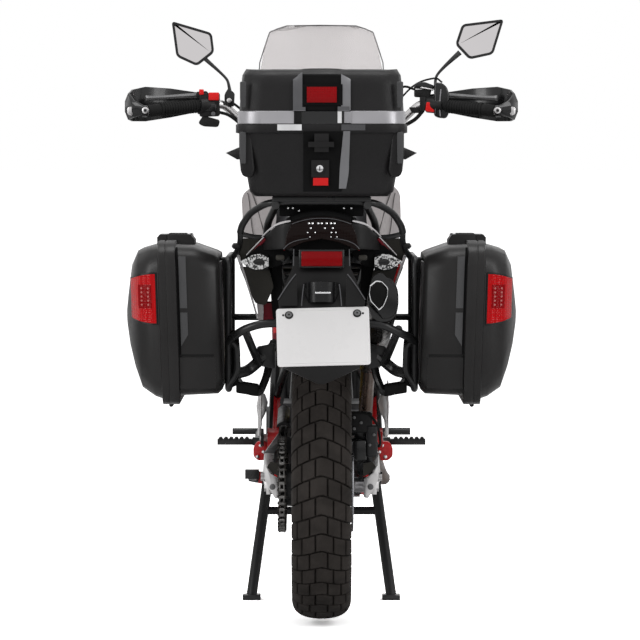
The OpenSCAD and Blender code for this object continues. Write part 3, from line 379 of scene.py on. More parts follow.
def pick(piece, kind, test):
    """In edit mode, selects the faces, edges or vertices whose middle (and normal) pass the test."""
    if bpy.context.mode != "EDIT_MESH":
        only(piece)
        bpy.ops.object.mode_set(mode="EDIT")
    bpy.ops.mesh.select_mode(type=kind)
    bpy.ops.mesh.select_all(action="DESELECT")
    mesh = bmesh.from_edit_mesh(piece.data)
    if kind == "FACE":
        for face in mesh.faces:
            face.select_set(bool(test(face.calc_center_median(), face.normal)))
    elif kind == "EDGE":
        for edge in mesh.edges:
            a, b = edge.verts
            edge.select_set(bool(test((a.co + b.co) / 2, (b.co - a.co).normalized())))
    else:
        for vertex in mesh.verts:
            vertex.select_set(bool(test(vertex.co, vertex.normal)))
    mesh.select_flush_mode()
    bmesh.update_edit_mesh(piece.data)


def rounded(piece, width, segments=3, angle=30):
    """Bevel on every edge sharper than the angle, applied."""
    only(piece)
    bevel = piece.modifiers.new("Bevel", "BEVEL")
    bevel.width = width
    bevel.segments = segments
    bevel.limit_method = "ANGLE"
    bevel.angle_limit = math.radians(angle)
    bpy.ops.object.modifier_apply(modifier=bevel.name)
    return piece


def done(piece, name, material, body, smooth=35, outward=True):
    """Names a piece, gives it its finish and lets it ride on a body."""
    only(piece)
    if piece.type != "MESH":
        bpy.ops.object.convert(target="MESH")
        piece = bpy.context.object
    bpy.ops.object.transform_apply(location=True, rotation=True, scale=True)
    if outward:
        bpy.ops.object.mode_set(mode="EDIT")
        bpy.ops.mesh.select_all(action="SELECT")
        bpy.ops.mesh.normals_make_consistent(inside=False)
        bpy.ops.object.mode_set(mode="OBJECT")
    bpy.ops.object.shade_smooth_by_angle(angle=math.radians(smooth))
    piece.name = name
    piece.data.name = name
    if material:
        piece.data.materials.clear()
        piece.data.materials.append(finish[material])
    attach(piece, body)
    return piece


def joined(pieces):
    only(*pieces)
    if len(pieces) > 1:
        bpy.ops.object.join()
    return bpy.context.object


def copied(piece, matrix):
    """Copy with its own mesh, moved by a matrix."""
    only(piece)
    bpy.ops.object.duplicate(linked=False)
    copy = bpy.context.object
    copy.data.transform(matrix)
    return copy


def mirrored(piece):
    """Copy on the other side of the bike."""
    return copied(piece, Matrix.Scale(-1, 4, (1, 0, 0)))


def tube(points, radius, sides=8, smooth=True, taper=None):
    """Tube along points, through a path curve turned into a mesh."""
    object_mode()
    bpy.ops.object.select_all(action="DESELECT")
    bpy.ops.curve.primitive_nurbs_path_add(location=(0, 0, 0))
    path = bpy.context.object
    curve = path.data
    curve.splines.clear()
    spline = curve.splines.new("NURBS" if smooth else "POLY")
    spline.points.add(len(points) - 1)
    for index, (target, point) in enumerate(zip(spline.points, points)):
        target.co = (*point, 1)
        target.radius = taper[index] if taper else 1
    spline.order_u = min(4, len(points))
    spline.use_endpoint_u = True
    spline.resolution_u = 6
    curve.resolution_u = 6
    curve.bevel_depth = radius
    curve.bevel_resolution = max(0, sides // 4)
    curve.use_fill_caps = True
    only(path)
    bpy.ops.object.convert(target="MESH")
    return bpy.context.object


def bent(points, bend, steps=5):
    """The same way with each corner rounded, as a bent tube runs."""
    spots = [Vector(q) for q in points]
    way = [spots[0]]
    for a, b, c in zip(spots, spots[1:], spots[2:]):
        cut = min(bend, (b - a).length * 0.45, (c - b).length * 0.45)
        start = b + (a - b).normalized() * cut
        end = b + (c - b).normalized() * cut
        for i in range(steps + 1):
            u = i / steps
            way.append((1 - u) ** 2 * start + 2 * u * (1 - u) * b + u * u * end)
    return way + [spots[-1]]


def bent_tube(points, radius, bend, name, material, body, sides=12):
    """Bent tube through points in millimetres, with its finish."""
    way = bent([at(*q) for q in points], bend * MM)
    return done(tube(way, radius * MM, sides, smooth=False), name, material, body)


def lathe(outline, centre, steps=64, closed=True):
    """Solid of revolution about the X axis through centre, from (radius, x) points in metres."""
    object_mode()
    bpy.ops.object.select_all(action="DESELECT")
    bpy.ops.mesh.primitive_plane_add(size=0.001, location=(0, 0, 0))
    piece = bpy.context.object
    bpy.ops.object.mode_set(mode="EDIT")
    bpy.ops.mesh.select_all(action="SELECT")
    bpy.ops.mesh.merge(type="CENTER")
    points = [Vector((x + centre[0], centre[1], centre[2] + radius)) for radius, x in outline]
    bpy.ops.transform.translate(value=points[0])
    for a, b in zip(points, points[1:]):
        bpy.ops.mesh.extrude_region_move(TRANSFORM_OT_translate={"value": b - a})
    if closed:
        bpy.ops.mesh.extrude_region_move(TRANSFORM_OT_translate={"value": points[0] - points[-1]})
    bpy.ops.mesh.select_all(action="SELECT")
    bpy.ops.mesh.remove_doubles(threshold=0.00002)
    bpy.ops.mesh.select_all(action="SELECT")
    bpy.ops.mesh.spin(steps=steps, angle=2 * math.pi, center=centre, axis=(1, 0, 0))
    bpy.ops.mesh.select_all(action="SELECT")
    bpy.ops.mesh.remove_doubles(threshold=0.00002)
    bpy.ops.mesh.normals_make_consistent(inside=False)
    bpy.ops.object.mode_set(mode="OBJECT")
    return piece


# Tyres: carcass and tread of chevron rows, each row split into blocks
class Tread:
    """Shape of one tyre: crown, groove depth and the columns of blocks, in millimetres."""

    def __init__(self, centre, radius, half, rows, columns, depth=8.0, slope=0.42, groove=4.6):
        self.centre = centre
        self.radius = radius
        self.half = half
        self.rows = rows
        self.columns = columns
        self.depth = depth
        self.slope = slope
        self.groove = groove

    def turn(self, x):
        """Angle round the crown at which the tyre is x wide."""
        return math.asin(max(-1, min(1, x / self.half)))

    def point(self, turn, along, lift):
        """Point at an angle over the crown, a distance round the tyre, and a height off its skin."""
        drop = (32 + 19 * abs(turn / (math.pi / 2)) ** 3) * self.radius / 314
        x = (self.half + lift) * math.sin(turn)
        radius = self.radius - drop * (1 - math.cos(turn)) + lift * math.cos(turn)
        angle = (along + self.slope * abs(turn) * self.half * 0.8) / self.radius
        return Vector((x * MM, self.centre.y - radius * MM * math.cos(angle),
                       self.centre.z - radius * MM * math.sin(angle)))


def tread_block(tread, turn0, turn1, along0, along1):
    """One block: a cube cut into strips, then bent over the crown, with sloping walls."""
    object_mode()
    bpy.ops.object.select_all(action="DESELECT")
    bpy.ops.mesh.primitive_cube_add(size=2, location=(0, 0, 0))
    piece = bpy.context.object
    bpy.ops.object.mode_set(mode="EDIT")
    bpy.ops.mesh.select_all(action="SELECT")
    bpy.ops.mesh.subdivide(number_cuts=3)
    bpy.ops.object.mode_set(mode="OBJECT")
    edge = tread.groove / 2
    for vertex in piece.data.vertices:
        u, v, w = vertex.co
        lift = -tread.depth if w < -0.9 else -tread.depth * (1 - w) / 2 * 0.9
        flare = 0.8 * (1 - w) / 2
        round_u = 0.35 if abs(u) > 0.9 and w > 0.9 else 0
        side = edge - flare + round_u
        turn = (turn0 + turn1) / 2 + u * ((turn1 - turn0) / 2 - side / tread.half)
        along = (along0 + along1) / 2 + v * ((along1 - along0) / 2 - side)
        vertex.co = tread.point(turn, along, lift)
    return piece


def tyre_piece(name, tread, rim_r, rim_half, node, body):
    pitch = 2 * math.pi * tread.radius / tread.rows
    edge = math.radians(86)
    blocks = []
    for row, columns in enumerate(tread.columns):
        turns = [-edge] + [tread.turn(x) for x in columns] + [edge]
        for a, b in zip(turns, turns[1:]):
            blocks.append(tread_block(tread, a, b, row * pitch, (row + 1) * pitch))
    pair = rounded(joined(blocks), 0.0009, 1, 50)
    step = 2 * math.pi * len(tread.columns) / tread.rows
    around = Matrix.Translation(tread.centre)
    copies = [pair] + [copied(pair, around @ Matrix.Rotation(step * i, 4, "X")
                              @ around.inverted())
                       for i in range(1, tread.rows // len(tread.columns))]
    blocks = joined(copies)
    outline = []
    for i in range(19):
        point = tread.point(math.radians(-90 + 10 * i), 0, -tread.depth * 0.92)
        spread = Vector((0, point.y - tread.centre.y, point.z - tread.centre.z)).length
        outline.append((spread, point.x))
    bead = (rim_r - 2.5) * MM
    side = [((rim_r + 0.28 * (tread.radius - rim_r)) * MM, (tread.half - 3) * MM),
            ((rim_r + 20) * MM, (tread.half - 9) * MM), ((rim_r + 13) * MM, (rim_half + 10) * MM),
            ((rim_r + 10) * MM, (rim_half - 0.6) * MM), (bead, (rim_half - 0.6) * MM)]
    outline = ([(r, -x) for r, x in reversed(side)] + outline + side)
    carcass = lathe(outline, tread.centre, 96)
    return fit_tyre(joined([carcass, blocks]), name, node, body)


def fit_tyre(piece, name, node, body):
    piece = done(piece, name, "tyre", body, outward=False, smooth=28)
    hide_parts(node)
    return piece


def make_tyres():
    wide = [-45.6, -14.3, 27.8, 56.2]
    rear = Tread(REAR, 313.5, 69.5, 44, [wide, [-x for x in reversed(wide)]])
    tyre_piece("rear_tyre_tread", rear, 216, 50.5, "rear_tyre", "rear_wheel")
    narrow = [-33, -9, 19, 43]
    front = Tread(FRONT, 328.5, 54.5, 48, [narrow, [-x for x in reversed(narrow)]], 7, 0.42, 4.4)
    tyre_piece("front_tyre_tread", front, 241.5, 38, "front_tyre", "front_wheel")


# CAD solids that keep their form: merged, shaded round and given their finish
BODY = {name: body for body, names in frame["record"]["behaviour"]["bodies"].items() for name in names}


def local(point):
    """Millimetres of a point in a mesh: right, ahead of the rear axle, above the floor."""
    return Vector((point.x / MM, (point.y - REAR.y) / MM, point.z / MM))


def smoothed(node, material, angle=40, bevel=0.0, segments=2, levels=0):
    piece = bpy.data.objects.new(node + "_form", nodes[node].data.copy())
    bpy.context.scene.collection.objects.link(piece)
    only(piece)
    bpy.ops.object.mode_set(mode="EDIT")
    bpy.ops.mesh.select_all(action="SELECT")
    bpy.ops.mesh.remove_doubles(threshold=0.00002)
    bpy.ops.mesh.dissolve_limited(angle_limit=math.radians(0.6))
    bpy.ops.object.mode_set(mode="OBJECT")
    if bevel:
        rounded(piece, bevel * MM, segments, 50)
    if levels:
        soft = piece.modifiers.new("Soft", "SUBSURF")
        soft.levels = soft.render_levels = levels
        bpy.ops.object.modifier_apply(modifier=soft.name)
    piece = done(piece, node + "_form", material, BODY[node], angle, outward=False)
    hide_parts(node)
    return piece


def paint(piece, material, test):
    """Gives another finish to the faces whose middle, in millimetres, and normal pass the test."""
    mesh = piece.data
    if finish[material].name not in mesh.materials:
        mesh.materials.append(finish[material])
    index = mesh.materials.find(finish[material].name)
    for face in mesh.polygons:
        if test(local(face.center), face.normal):
            face.material_index = index


def sliced(piece, place, normal):
    """Cuts the faces of a piece along a plane, so that a finish can end there."""
    only(piece)
    bpy.ops.object.mode_set(mode="EDIT")
    bpy.ops.mesh.select_all(action="SELECT")
    bpy.ops.mesh.bisect(plane_co=place, plane_no=normal)
    bpy.ops.object.mode_set(mode="OBJECT")


# Finish of each CAD solid, with the width of its rounded edges in millimetres
NODE_FINISH = {
    "frame": ("red_paint", 0), "swingarm": ("bare_alloy", 1.5), "engine": ("engine_black", 1),
    "exhaust": ("muffler_steel", 0), "fuel_tank": ("tank_plastic", 0),
    "body_panels": ("panel_grey", 0), "tail_fairing": ("matt_black", 1.5),
    "tail_light": ("smoke_lens", 2), "rear_mudguard": ("black_plastic", 1.5),
    "indicators": ("black_plastic", 1), "luggage_racks": ("black_steel", 0),
    "top_case_base": ("case_pebble", 1.2), "left_case_base": ("case_plastic", 1.5),
    "right_case_base": ("case_plastic", 1.5), "rear_shock": ("spring_yellow", 0),
    "radiator": ("radiator_black", 1.5), "skid_plate": ("bare_alloy", 0.6),
    "foot_controls": ("black_steel", 0.8), "heel_plates": ("bare_alloy", 0.8),
    "front_fairing": ("black_plastic", 1.5), "headlight": ("lamp_glass", 0),
    "windscreen": ("clear_screen", 0), "fork_sliders": ("black_steel", 0.8),
    "fork_stanchions": ("chrome", 0.8), "yokes": ("cast_alloy", 0.8),
    "handlebar": ("bare_alloy", 0), "hand_guards": ("gloss_black", 1),
    "hand_controls": ("black_plastic", 1), "mirrors": ("gloss_black", 0),
    "front_fender": ("white_plastic", 0.6), "front_rim": ("black_steel", 0),
    "front_disc": ("disc_steel", 0.4), "rear_rim": ("black_steel", 0),
    "rear_disc": ("disc_steel", 0.4), "rear_sprocket": ("chain_steel", 0.4),
    "centre_stand": ("black_steel", 1), "side_stand": ("black_steel", 1),
    "top_case_lid": ("case_pebble", 1.2), "left_case_lid": ("case_plastic", 1.5),
    "right_case_lid": ("case_plastic", 1.5), "grips": ("rubber", 0.6),
    "chain": ("chain_steel", 0), "number_plate": ("plate_white", 0),
    "seat": ("seat_vinyl", 0),
}


# Nodes whose pieces are modelled from scratch
REMADE = ("mirrors", "grips", "luggage_racks", "chain", "seat")


def dress_nodes():
    form = {}
    for node, (material, bevel) in NODE_FINISH.items():
        nodes[node].data.materials.clear()
        nodes[node].data.materials.append(finish[material])
        if node not in REMADE:
            form[node] = smoothed(node, material, bevel=bevel)
    return form


# Small parts: boxes and bars with rounded edges, and strips that follow a surface
def bar_piece(start, end, radius, name, material, body, edge=0.8, sides=32):
    piece = rounded(round_bar(at(*start), at(*end), radius * MM, sides), edge * MM, 2, 50)
    return done(piece, name, material, body)


def box_piece(low, high, name, material, body, edge=1.5, segments=3):
    piece = rounded(block(at(*low), at(*high)), edge * MM, segments)
    return done(piece, name, material, body)


def warp(piece, place):
    """Moves each point of a mesh by a function of it, in millimetres."""
    for vertex in piece.data.vertices:
        vertex.co = at(*place(local(vertex.co)))
    return piece


def shaped(low, high, cuts, place):
    """Box cut into small squares, each of whose points a function moves, all in millimetres."""
    piece = block(at(*low), at(*high))
    only(piece)
    bpy.ops.object.mode_set(mode="EDIT")
    bpy.ops.mesh.select_all(action="SELECT")
    bpy.ops.mesh.subdivide(number_cuts=cuts)
    bpy.ops.object.mode_set(mode="OBJECT")
    return warp(piece, place)


def between(rows, place):
    """Value at a place from rows of (place, value), straight between two rows."""
    for (a, low), (b, high) in zip(rows, rows[1:]):
        if place <= b:
            return low + (high - low) * max(0, (place - a) / (b - a))
    return rows[-1][1]


def strip(low, high, skin, lift, name, material, body, sink=2.0, cuts=6, edge=0.8, along="z",
          trim=None, slot=None):
    """Raised strip on a rear face. skin gives the face's y from height or from distance out."""
    def place(point):
        face = skin(point.z if along == "z" else abs(point.x))
        y = face - lift if point.y < 0.5 else face + sink
        z = point.z if trim is None else trim(point.x, point.z)
        return point.x, y, z
    piece = shaped((low[0], 0, low[1]), (high[0], 1, high[1]), cuts, place)
    rounded(piece, edge * MM, 2, 50)
    return done(piece, name, material, body)


def make_chassis():
    """Finishes that meet on one solid: black rear frame, red tubes darkened with painted shade, black
    caliper and dark header.
    """
    frame_form = form["frame"]
    squeeze = lambda z: between([(300, 0), (380, 1), (640, 1), (760, 0)], z)
    warp(frame_form, lambda p: (p.x + 9 * squeeze(p.z) if abs(p.x) > 95 and p.y > 380 else p.x,
                                p.y, p.z))
    paint(frame_form, "black_steel", lambda p, n: (p.z > 700 and p.y < 640) or abs(p.x) < 90
          or (p.y < 576 and p.z > 470))
    # Painted shade: the red tubes in this band stand in shadow and get a darker red
    paint(frame_form, "dark_red", lambda p, n: 590 < p.z < 720 and 576 < p.y < 680
          and abs(p.x) > 90)
    swingarm = form["swingarm"]
    squash = lambda x: math.copysign(min(abs(x), 118) + max(0, abs(x) - 118) * 0.5, x)
    warp(swingarm, lambda p: (squash(p.x) if p.y < 60 else p.x, p.y, p.z))
    paint(swingarm, "engine_black", lambda p, n: p.y > 330 and -112 < p.x < 60)
    paint(swingarm, "gloss_black", lambda p, n: p.x > 50 and p.y < 70 and p.z > 345)
    exhaust = form["exhaust"]
    inward = lambda p: between([(0, 1), (600, 1), (690, 0)], p.z) * between(
        [(0, 0), (220, 1), (545, 1), (650, 0)], p.y)
    warp(exhaust, lambda p: (p.x - 28 * inward(p), p.y, p.z))
    paint(exhaust, "header_steel", lambda p, n: p.y > 236 or p.z < 600)
    paint(exhaust, "gloss_black", lambda p, n: p.y < -226)
    kite = [(110.8, 799), (124, 810.5), (136.5, 809), (150, 794.5), (149.5, 776), (140, 753.5),
            (130.8, 744.4), (111.5, 765), (108, 783)]
    inner = outlined(kite, -252, -246, 2, 2)
    done(inner, "muffler_mouth", "rubber", "chassis")
    bright = [at(x, -253, z) for x, z in kite]
    done(tube(bent(bright + bright[:1], 0.004), 1.9 * MM, 8, smooth=False), "muffler_mouth_rim",
         "chrome", "chassis")
    cap = outlined([(106, 792), (118, 823), (138, 830), (172, 793), (176, 755), (163, 729),
                    (140, 722), (110, 758)], -247, -236, 6, 3)
    done(rounded(cap, 2 * MM, 2, 50), "muffler_cap", "gloss_black", "chassis")


def make_racks():
    """Rack tubes: rails, side loops, hoop over the tail and the arms behind the plate."""
    pieces = []
    for s, side in SIDES:
        rail = [(s * 130.6, 200, 828), (s * 130.6, 190, 930), (s * 104, 110, 984),
                (s * 104, -322, 984)]
        pieces.append(bent_tube(rail, 9, 30, "rack_rail_" + side, "black_steel", "chassis", 16))
        loop = [(s * 213.5, -60, 860), (s * 213.5, 180, 860), (s * 213.5, 180, 640),
                (s * 213.5, 100, 560), (s * 213.5, -190, 560), (s * 213.5, -190, 860),
                (s * 213.5, -50, 860)]
        pieces.append(bent_tube(loop, 8, 22, "rack_loop_" + side, "black_steel", "chassis", 16))
        pieces.append(bar_piece((s * 92.5, 180, 711.6), (s * 213.5, 180, 711.6), 8,
                                "rack_stay_" + side, "black_steel", "chassis", 0.6))
        post = [(s * 213, -190, 672), (s * 195, -196, 660), (s * 193, -196, 600),
                (s * 212, -190, 572)]
        bent_tube(post, 8, 20, "rack_post_" + side, "black_steel", "chassis")
        bar_piece((s * 187, -196, 889), (s * 203, -196, 889), 7, "rack_knob_" + side,
                  "black_plastic", "chassis", 2)
        bar_piece((s * 200, -196, 889), (s * 206, -196, 889), 4, "rack_knob_end_" + side,
                  "cast_alloy", "chassis", 1)
        foot = [(s * 204, -150, 862), (s * 191, -176, 880), (s * 185.5, -196, 900),
                (s * 186, -214, 926)]
        bent_tube(foot, 7, 16, "hoop_foot_" + side, "black_steel", "chassis")
        tie = [(s * 187.5, -206, 918), (s * 158, -206, 910), (s * 120, -196, 908)]
        bent_tube(tie, 6, 12, "hoop_tie_" + side, "black_steel", "chassis")
        hanger = [(s * 198, -70, 579), (s * 186, -66, 560), (s * 162, -60, 546), (s * 143, -50, 545),
                  (s * 128, -30, 581), (s * 112, 20, 660)]
        bent_tube(hanger, 9.5, 14, "peg_hanger_" + side, "black_steel", "chassis")
        brace = [(s * 206, -110, 590), (s * 171, -62, 596), (s * 140, -50, 622), (s * 104, -30, 660)]
        bent_tube(brace, 13, 14, "peg_brace_" + side, "black_steel", "chassis")
        strut = [(s * 176, -222, 700), (s * 160, -100, 650), (s * 146, -60, 614)]
        bent_tube(strut, 9.5, 14, "peg_strut_" + side, "black_steel", "chassis")
        gusset = [(s * 150, 652), (s * 108, 660), (s * 108, 600), (s * 140, 606), (s * 152, 622)]
        done(rounded(outlined(gusset, -58, -50, 4, 3), 1.5 * MM, 2, 45), "peg_gusset_" + side,
             "black_steel", "chassis")
        web = [(s * 214, 700), (s * 190, 690), (s * 186, 640), (s * 192, 570), (s * 214, 560)]
        done(rounded(outlined(web, -188, -182, 4, 3), 1.5 * MM, 2, 45), "rack_web_" + side,
             "matt_black", "chassis")
        peg = shaped((s * 146, -96, 540), (s * 198, -34, 564), 7, lambda p: (
            p.x, p.y, p.z + 2.6 * math.sin(p.y * 0.35) + abs(p.x) * 0.16 - 24))
        rounded(peg, 2.4 * MM, 2, 45)
        done(peg, "passenger_peg_" + side, "rubber", "chassis")
    hoop = [(-186, -212, 920), (-182, -222, 936), (-165, -246, 963), (-142, -272, 979),
            (-120, -296, 989), (-76, -310, 993), (76, -310, 993), (120, -296, 989),
            (142, -272, 979), (165, -246, 963), (182, -222, 936), (186, -212, 920)]
    pieces.append(bent_tube(hoop, 8, 16, "rack_hoop", "black_steel", "chassis", 16))
    arm = [(-213, -190, 668), (-202, -206, 682), (-176, -228, 700), (-143, -240, 711),
           (-112, -240, 714), (112, -240, 714), (143, -240, 709), (168, -228, 696),
           (202, -206, 680), (213, -190, 668)]
    pieces.append(bent_tube(arm, 9.6, 18, "rack_arm", "black_steel", "chassis", 16))
    plate = block(at(-112, -325, 992), at(112, -20, 1004))
    pieces.append(done(rounded(plate, 3 * MM, 3), "rack_plate", "black_steel", "chassis"))
    for y in (-270, -180, -90):
        box_piece((-70, y, 1002), (70, y + 60, 1005), "rack_plate_pad_%d" % -y, "rubber", "chassis",
                  1)
    for piece in pieces:
        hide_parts("luggage_racks")


def make_shoulders():
    """Grey covers beside the tank as seen from behind: white plastic darkened with painted shade, with
    their creases and dark lines of painted shade along the folds.
    """
    covers = (("left", -1, [(-202, 990), (-187, 1010), (-130, 1015), (-115, 995), (-112, 930),
                            (-128, 880), (-176, 872), (-198, 915)]),
              ("right", 1, [(115, 995), (132, 1015), (178, 1022), (199, 1000), (201, 932),
                            (188, 880), (147, 872), (127, 880), (112, 930)]))
    for side, s, outline in covers:
        cover = outlined(outline, 0, 5, 12, 4)
        only(cover)
        bpy.ops.object.mode_set(mode="EDIT")
        bpy.ops.mesh.select_all(action="SELECT")
        for x in (128, 140, 152, 164, 176, 188):
            bpy.ops.mesh.select_all(action="SELECT")
            bpy.ops.mesh.bisect(plane_co=at(s * x, 0, 0), plane_no=(1, 0, 0))
        bpy.ops.object.mode_set(mode="OBJECT")
        warp(cover, lambda p: (p.x, p.y + 700 + 1.45 * max(0, abs(p.x) - 115)
                               - 7 * math.exp(-((abs(p.x) - 152) / 9) ** 2), p.z))
        cover = done(cover, "tank_shoulder_" + side, "panel_grey", "chassis", smooth=30)
        # Dark lines of painted shade along the fold and the lower edge
        fold = [(s * 176, 1004), (s * 158, 960), (s * 146, 910), (s * 140, 884)]
        done(tube([at(x, 694 + 1.45 * (abs(x) - 115), z) for x, z in fold], 1.5 * MM, 8),
             "shoulder_fold_" + side, "panel_shade", "chassis")
        lower = [(s * 186, 1000), (s * 178, 975), (s * 180, 930), (s * 170, 890)]
        done(tube([at(x, 694 + 1.45 * (abs(x) - 115), z) for x, z in lower], 1.2 * MM, 8),
             "shoulder_edge_" + side, "panel_shade", "chassis")


def make_side_covers():
    """Covers under the tail: dark faces with a pale outer edge."""
    for s, side in SIDES:
        face = [(s * 189, 842), (s * 120, 834), (s * 110, 794), (s * 128, 752), (s * 152, 756),
                (s * 172, 800)]
        done(outlined(face, -160, -151, 5, 3), "side_cover_" + side, "olive_plastic", "chassis")
        dark = [(s * 124, 880), (s * 92, 880), (s * 88, 720), (s * 112, 720), (s * 118, 790)]
        done(outlined(dark, -150, -140, 4, 3), "side_shade_" + side, "matt_black", "chassis")
        edge = [(s * 192, 866), (s * 181, 833), (s * 165, 789), (s * 147, 721)]
        done(tube([at(x, -158, z) for x, z in edge], 2.6 * MM, 8, taper=[1.6, 1.2, 0.9, 0.8]),
             "side_edge_" + side, "white_plastic", "chassis")
        hollow = [(s * 190, 905), (s * 128, 906), (s * 122, 884), (s * 150, 868), (s * 178, 846),
                  (s * 192, 862)]
        done(outlined(hollow, -146, -138, 5, 3), "side_hollow_" + side, "olive_plastic", "chassis")
        web = [(s * 128, 760), (s * 104, 760), (s * 108, 700), (s * 126, 700)]
        done(outlined(web, -134, -128, 3, 3), "side_web_" + side, "matt_black", "chassis")
        bit = [(s * 149, 757), (s * 134, 755), (s * 134, 716), (s * 145, 716)]
        done(outlined(bit, -156, -150, 2, 2), "side_tip_" + side, "panel_grey", "chassis")
        # Painted shade: a dark red patch for the red frame seen in shadow between the covers
        red = [(s * 134, 756), (s * 108, 756), (s * 110, 712), (s * 134, 712)]
        done(outlined(red, -146, -138, 2, 2), "side_red_" + side, "dark_red", "chassis")
        line = [(s * 186, 856), (s * 181, 833), (s * 167, 790), (s * 158, 772)]
        if s > 0:
            done(tube([at(x - 5, -161, z) for x, z in line], 2.4 * MM, 8), "side_stripe_" + side,
                 "red_paint", "chassis")


def make_foot_area():
    """Heel plates, red peg brackets, swingarm ends and what is on the caliper."""
    for s, side in SIDES:
        reach = 8 if s > 0 else 0
        heel = [(-155, 510), (-139, 511), (-131, 489), (-136, 465), (-146, 445), (-149.5, 406),
                (-157, 406), (-156.5, 450), (-160, 480)]
        heel = [(s * (abs(x) + reach), z) for x, z in heel]
        done(rounded(outlined(heel, 500, 512, 3, 3), 1 * MM, 2, 50), "heel_guard_" + side,
             "bare_alloy", "chassis")
        bracket = [(s * (168 + reach), 375), (s * (159 + reach), 389), (s * 134, 391),
                   (s * 134, 344), (s * (156 + reach), 342), (s * (168 + reach), 353)]
        done(rounded(outlined(bracket, 548, 574, 5, 3), 1.4 * MM, 2, 50), "peg_bracket_" + side,
             "red_paint", "chassis")
        for i, (x, z) in enumerate(((150, 380), (143, 364), (158, 352))):
            bar_piece((s * x, 550, z), (s * x, 545, z), 4.5, "peg_bolt_%s_%d" % (side, i), "chrome",
                      "chassis", 1)
        end = [(s * 130, 376), (s * 120, 358), (s * 99, 345), (s * 98, 302), (s * 108, 298),
               (s * 124, 325), (s * 133, 345)]
        done(rounded(outlined(end, -66, -57, 3, 3), 1 * MM, 2, 50), "axle_plate_" + side,
             "bare_alloy", "chassis")
        bar_piece((s * 114, -65, 326), (s * 114, -70, 326), 7, "axle_bolt_" + side, "cast_alloy",
                  "chassis", 1.4)
        inner = [(s * 127, 372), (s * 119, 384), (s * 97, 380), (s * 97, 349), (s * 115, 358)]
        done(outlined(inner, -60, -54, 2, 2), "axle_shade_" + side, "olive_plastic", "chassis")
    box_piece((66, -72, 452), (118, -30, 500), "caliper_body", "black_plastic", "chassis", 4)
    box_piece((70, -76, 388), (104, -40, 436), "caliper_pads", "gloss_black", "chassis", 4)
    box_piece((104, -74, 396), (130, -34, 470), "caliper_piston", "engine_black", "chassis", 5)
    for i, (x, z) in enumerate(((76, 488), (76, 462), (112, 424), (122, 448), (92, 476))):
        bar_piece((x, -72, z), (x, -78.5, z), 3.6, "caliper_bolt_%d" % i, "cast_alloy", "chassis",
                  0.8, 12)
    run_cable([(92, -72, 500), (112, -74, 494), (130, -66, 468), (137, -40, 430),
               (134, 10, 415), (128, 90, 424)], 3, "rear_brake_hose", "chassis")


def make_chain():
    """Chain link by link round both sprockets: plates, pins and rollers."""
    x, pitch, links = -92, 15.875, 108
    big, small = (pitch / (2 * math.sin(math.pi / teeth)) for teeth in (42, 15))
    rear, front = Vector((0, REAR.z / MM)), Vector((622, 400))
    gap = (front - rear).length
    tilt = math.atan2(front.y - rear.y, front.x - rear.x)
    spread = math.asin((big - small) / gap)
    run = gap * math.cos(spread)
    front_arc, rear_arc = small * (math.pi - 2 * spread), big * (math.pi + 2 * spread)
    whole = 2 * run + front_arc + rear_arc
    low, high = tilt - math.pi / 2 + spread, tilt + math.pi / 2 - spread

    def round_place(centre, radius, angle):
        return centre + radius * Vector((math.cos(angle), math.sin(angle)))

    def loop_place(d):
        d %= whole
        if d < front_arc:
            return round_place(front, small, low + d / small)
        if d < front_arc + run:
            u = (d - front_arc) / run
            return round_place(front, small, high).lerp(round_place(rear, big, high), u)
        if d < front_arc + run + rear_arc:
            return round_place(rear, big, high + (d - front_arc - run) / big)
        u = (d - front_arc - run - rear_arc) / run
        return round_place(rear, big, low).lerp(round_place(front, small, low), u)

    def link(half, thick):
        """Two waisted plates and a roller, for a link along Y at the origin."""
        parts = []
        for side in (-1, 1):
            plate = block((side * half - thick / 2, -13.4, -6.4), (side * half + thick / 2, 13.4, 6.4))
            pick(plate, "EDGE", lambda place, way: abs(way.x) > 0.9)
            bpy.ops.mesh.bevel(offset=5.2, segments=3, affect="EDGES")
            object_mode()
            for v in plate.data.vertices:
                if abs(v.co.y) < 3:
                    v.co.z *= 0.8
            parts.append(plate)
        return parts

    outer = joined(link(7.4, 2.2) + [round_bar((-10.6, y, 0), (10.6, y, 0), 2.9, 8)
                                     for y in (-7.94, 7.94)])
    inner = joined(link(4.9, 2.2) + [round_bar((-4.6, y, 0), (4.6, y, 0), 5.0, 10)
                                     for y in (-7.94, 7.94)])
    outer.data.materials.append(finish["chain_steel"])
    inner.data.materials.append(finish["roller_steel"])
    copies = []
    for i in range(links):
        a, b = loop_place(whole * i / links), loop_place(whole * (i + 1) / links)
        middle = (a + b) / 2
        turn = math.atan2(b.y - a.y, b.x - a.x)
        move = (Matrix.Translation(at(x, middle.x, middle.y)) @ Matrix.Scale(MM, 4)
                @ Matrix.Rotation(turn, 4, "X"))
        copies.append(copied(outer if i % 2 else inner, move))
    only(outer, inner)
    bpy.ops.object.delete()
    chain = done(joined(copies), "chain_links", None, "chassis", outward=False)
    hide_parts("chain")
    guard = shaped((-105, 60, 462), (-76, 400, 470), 7, lambda p: (
        p.x, p.y, p.z + (p.y - 60) * 0.055 - (0.035 * (p.x + 90) ** 2)))
    rounded(guard, 1.2 * MM, 2, 45)
    done(guard, "chain_guard", "black_plastic", "chassis")


# Seat: width, floor and top along the bike, in millimetres
SEAT_ROWS = [(-20, 150, 906), (10, 190, 930), (120, 230, 936), (330, 236, 926), (400, 232, 892),
             (470, 230, 856), (600, 216, 848), (689.7, 170, 862)]


